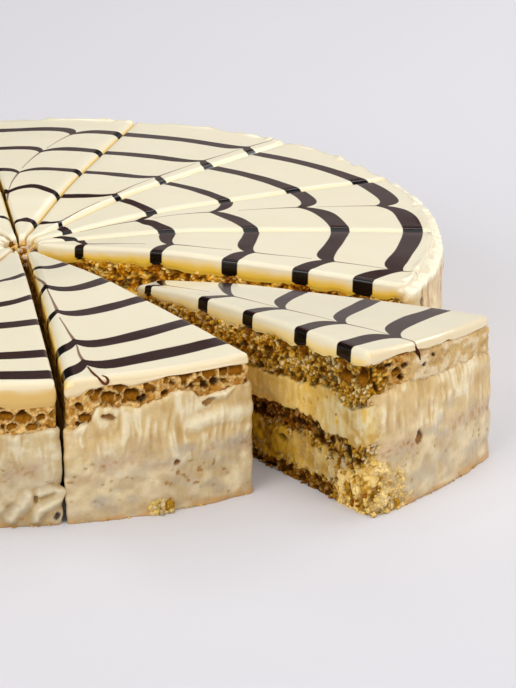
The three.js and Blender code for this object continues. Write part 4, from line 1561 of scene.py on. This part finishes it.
def colour_mix(tree, share, first, second, blend_type="MIX"):
    node = tree.nodes.new("ShaderNodeMix")
    node.data_type = "RGBA"
    node.blend_type = blend_type
    for key, value in (("Factor_Float", share), ("A_Color", first), ("B_Color", second)):
        socket = next(entry for entry in node.inputs if entry.identifier == key)
        if isinstance(value, bpy.types.NodeSocket):
            tree.links.new(value, socket)
        elif isinstance(value, (int, float)):
            socket.default_value = value
        else:
            socket.default_value = (*value, 1.0)
    return next(entry for entry in node.outputs if entry.identifier == "Result_Color")


def add_bump(tree, shader, height, strength, distance):
    bump = tree.nodes.new("ShaderNodeBump")
    set_inputs(bump, {"Strength": strength, "Distance": distance})
    tree.links.new(height, bump.inputs["Height"])
    tree.links.new(bump.outputs["Normal"], shader.inputs["Normal"])


GRAIN_SCALE = 1300.0
CRUMB_ROUGHNESS = 0.9
SOFT_DEPTH = 1.2 * MM


def side_material(name, smooth_roughness, shine):
    """Crumb and cream: the tint worked out for each point, broken up by a fine grain in the crumb."""
    material, tree, shader = new_material(name)
    tint = attribute_node(tree, "tint").outputs["Color"]
    crumb = attribute_node(tree, "crumb").outputs["Fac"]
    noise = noise_node(tree, GRAIN_SCALE, 4.0)
    grain = range_node(tree, noise, 0.3, 0.7, -1.0, 1.0)
    contrast = range_node(tree, crumb, 0.0, 1.0, 0.05, 0.4)
    shade = math_node(tree, "MULTIPLY_ADD", grain, contrast, 1.0)
    grey = tree.nodes.new("ShaderNodeCombineColor")
    for channel in ("Red", "Green", "Blue"):
        tree.links.new(shade, grey.inputs[channel])
    colour = colour_mix(tree, 1.0, tint, grey.outputs["Color"], "MULTIPLY")
    roughness = range_node(tree, crumb, 0.0, 1.0, smooth_roughness, CRUMB_ROUGHNESS)
    tree.links.new(colour, shader.inputs["Base Color"])
    tree.links.new(roughness, shader.inputs["Roughness"])
    set_inputs(shader, {
        "Subsurface Weight": 0.12, "Subsurface Radius": (1.0, 0.7, 0.3), "Subsurface Scale": SOFT_DEPTH,
        "Specular IOR Level": shine})
    height = math_node(tree, "MULTIPLY", noise, range_node(tree, crumb, 0.0, 1.0, 0.2, 1.0))
    add_bump(tree, shader, height, 0.7, 0.5 * MM)
    return material


def glaze_material():
    """Ivory glaze with gold stains and gold painted shade, the chocolate rings, painted darker on the sides
    as shade, and the fine lines of the feathers.
    """
    material, tree, shader = new_material("poured_glaze")
    names = ("web", "offset", "tail", "gold", "side")
    web, offset, tail, gold, side = (attribute_node(tree, name).outputs["Fac"] for name in names)
    rings = range_node(tree, web, -0.12, 0.18, 0.0, 1.0)
    reach = math_node(tree, "SUBTRACT", tail, math_node(tree, "ABSOLUTE", offset))
    lines = range_node(tree, reach, -0.1, 0.2, 0.0, 0.85)
    noise = noise_node(tree, 60.0, 3.0)
    ivory = colour_mix(tree, noise, GLAZE_IVORY, GLAZE_SHADE)
    stained = colour_mix(tree, gold, ivory, colour_mix(tree, side, GLAZE_RIM_GOLD_AND_SHADE, GLAZE_GOLD))
    feathered = colour_mix(tree, lines, stained, FEATHER_BROWN)
    # Painted shade: the chocolate is darker on the glaze's sides.
    dark = colour_mix(tree, side, CHOCOLATE, CHOCOLATE_SIDE_SHADE)
    tree.links.new(colour_mix(tree, rings, feathered, dark), shader.inputs["Base Color"])
    tree.links.new(range_node(tree, rings, 0.0, 1.0, 0.13, 0.15), shader.inputs["Roughness"])
    set_inputs(shader, {
        "Specular IOR Level": 0.32, "Subsurface Weight": 0.15, "Subsurface Radius": (1.0, 0.8, 0.45),
        "Subsurface Scale": SOFT_DEPTH})
    add_bump(tree, shader, noise, 0.04, 0.3 * MM)
    return material


# Stage, light and camera. The camera's place and angles give the photograph's view.

VIEW_FOCAL_PIXELS = 2600.0
VIEW_LONG_SIDE_PIXELS = 688.0
SENSOR_MM = 36.0
CAMERA_PLACE = (94.2, -837.2, 323.5)
CAMERA_YAW = -0.926
CAMERA_PITCH = 20.87
CAMERA_ROLL = -0.48
FLOOR_HALF_WIDTH = 6.0
SKY_DARK = (0.045, 0.045, 0.05)
SKY_BRIGHT = (0.46, 0.43, 0.42)
SKY_FRONT = (0.60, 0.60, 0.60)

# Lights: name, place, target, length and width in metres, and power in watts
LIGHTS = (
    ("overhead", (0.1, 0.1, 1.6), (0, 0, 0), (1.6, 1.2), 8.5),
    ("window", (0.5, 1.0, 0.95), (0, 0, 0.05), (1.6, 0.25), 3.0),
    ("side", (1.18, 0.57, 0.91), (0.1, -0.05, 0.05), (1.1, 0.22), 7.5),
    ("left", (-0.9, -1.4, 0.9), (0, 0, 0.03), (1.2, 0.9), 15.0),
    ("right", (1.3, -1.1, 1.0), (0, 0, 0.03), (1.0, 0.9), 7.5),
)


def make_camera():
    yaw, pitch, roll = (math.radians(angle) for angle in (CAMERA_YAW, CAMERA_PITCH, CAMERA_ROLL))
    forward = Vector((math.sin(yaw) * math.cos(pitch), math.cos(yaw) * math.cos(pitch), -math.sin(pitch)))
    right = Vector((math.cos(yaw), -math.sin(yaw), 0.0))
    up = right.cross(forward)
    turned_right = math.cos(roll) * right + math.sin(roll) * up
    turned_up = -math.sin(roll) * right + math.cos(roll) * up
    data = bpy.data.cameras.new("camera")
    data.sensor_width = SENSOR_MM
    data.lens = VIEW_FOCAL_PIXELS / VIEW_LONG_SIDE_PIXELS * SENSOR_MM
    camera = bpy.data.objects.new("camera", data)
    place = Vector(CAMERA_PLACE) + Vector((*RING_CENTRE, 0.0))
    rows = Matrix((turned_right, turned_up, -forward)).transposed()
    camera.matrix_world = Matrix.Translation(place * MM) @ rows.to_4x4()
    bpy.context.scene.collection.objects.link(camera)
    bpy.context.scene.camera = camera


def make_floor():
    material, tree, shader = new_material("pale_floor")
    colour = colour_mix(tree, noise_node(tree, 3.0, 2.0), FLOOR_PALE, FLOOR_LIGHT)
    tree.links.new(colour, shader.inputs["Base Color"])
    set_inputs(shader, {"Roughness": 0.8})
    mesh = bpy.data.meshes.new("floor")
    half = FLOOR_HALF_WIDTH
    corners = [(-half, -half, 0), (half, -half, 0), (half, half, 0), (-half, half, 0)]
    mesh.from_pydata(corners, [], [(0, 1, 2, 3)])
    mesh.materials.append(material)
    floor = bpy.data.objects.new("floor", mesh)
    bpy.context.scene.collection.objects.link(floor)


def area_light(name, place, target, size, power):
    data = bpy.data.lights.new(name, "AREA")
    data.shape = "RECTANGLE"
    data.size, data.size_y = size
    data.energy = power
    light = bpy.data.objects.new(name, data)
    light.location = place
    light.rotation_euler = (Vector(target) - Vector(place)).to_track_quat("-Z", "Y").to_euler()
    bpy.context.scene.collection.objects.link(light)


def make_light():
    """Soft lamps, and a sky that is grey in front and dark behind, with a low bright part on the right."""
    world = bpy.data.worlds.new("studio")
    bpy.context.scene.world = world
    world.use_nodes = True
    tree = world.node_tree
    place = tree.nodes.new("ShaderNodeTexCoord")
    parts = tree.nodes.new("ShaderNodeSeparateXYZ")
    tree.links.new(place.outputs["Generated"], parts.inputs["Vector"])
    rightwards = range_node(tree, parts.outputs["X"], -0.17, -0.07, 0.0, 1.0)
    low = range_node(tree, parts.outputs["Z"], 0.385, 0.325, 0.0, 1.0)
    behind = range_node(tree, parts.outputs["Y"], -0.2, 0.3, 0.0, 1.0)
    back = colour_mix(tree, math_node(tree, "MULTIPLY", rightwards, low), SKY_DARK, SKY_BRIGHT)
    sky = colour_mix(tree, behind, SKY_FRONT, back)
    tree.links.new(sky, tree.nodes["Background"].inputs["Color"])
    set_inputs(tree.nodes["Background"], {"Strength": 1.0})
    for light in LIGHTS:
        area_light(*light)
    bpy.context.scene.view_settings.view_transform = "Standard"


# Putting the cake together

SPACING = {"shown": 0.36, "open": 0.6, "front": 0.44, "rest": 0.9, "hidden": 4.0, "tip": 1.0}
GLAZE_SPACING_FRONT = 0.8
GLAZE_SPACING_REST = 1.4
RING_LAYERS = ("base", "filling", "sponge_top")
DRAWN_LAYERS = ("base", "cream_lower", "sponge_middle", "cream_upper", "sponge_top")


def build_cake():
    materials = {"sponge": side_material("nut_sponge", 0.6, 0.05), "cream": side_material("cream", 0.5, 0.06)}
    coat = side_material("cream_coat", 0.3, 0.4)
    glaze = glaze_material()
    wedges = all_wedges()
    for wedge in wedges:
        rim = SPACING["front"] if wedge.front else SPACING["rest"]
        open_spacing = SPACING["shown"] if wedge.drawn else SPACING["open"]
        near = open_spacing if wedge.open[0] else SPACING["hidden"]
        far = SPACING["open"] if wedge.open[1] else SPACING["hidden"]
        line = wedge_outline(wedge, near, rim, far, SPACING["tip"])
        heights = wedge_levels(wedge, line)
        for layer in DRAWN_LAYERS if wedge.drawn else RING_LAYERS:
            layer_object(wedge, layer, line, heights, min(rim, near), materials)
        coat_object(wedge, line, rim, coat)
        glaze_object(wedge, GLAZE_SPACING_FRONT if wedge.front else GLAZE_SPACING_REST, glaze)
    make_small_pieces(wedges, materials)


build_cake()
make_floor()
make_light()
make_camera()
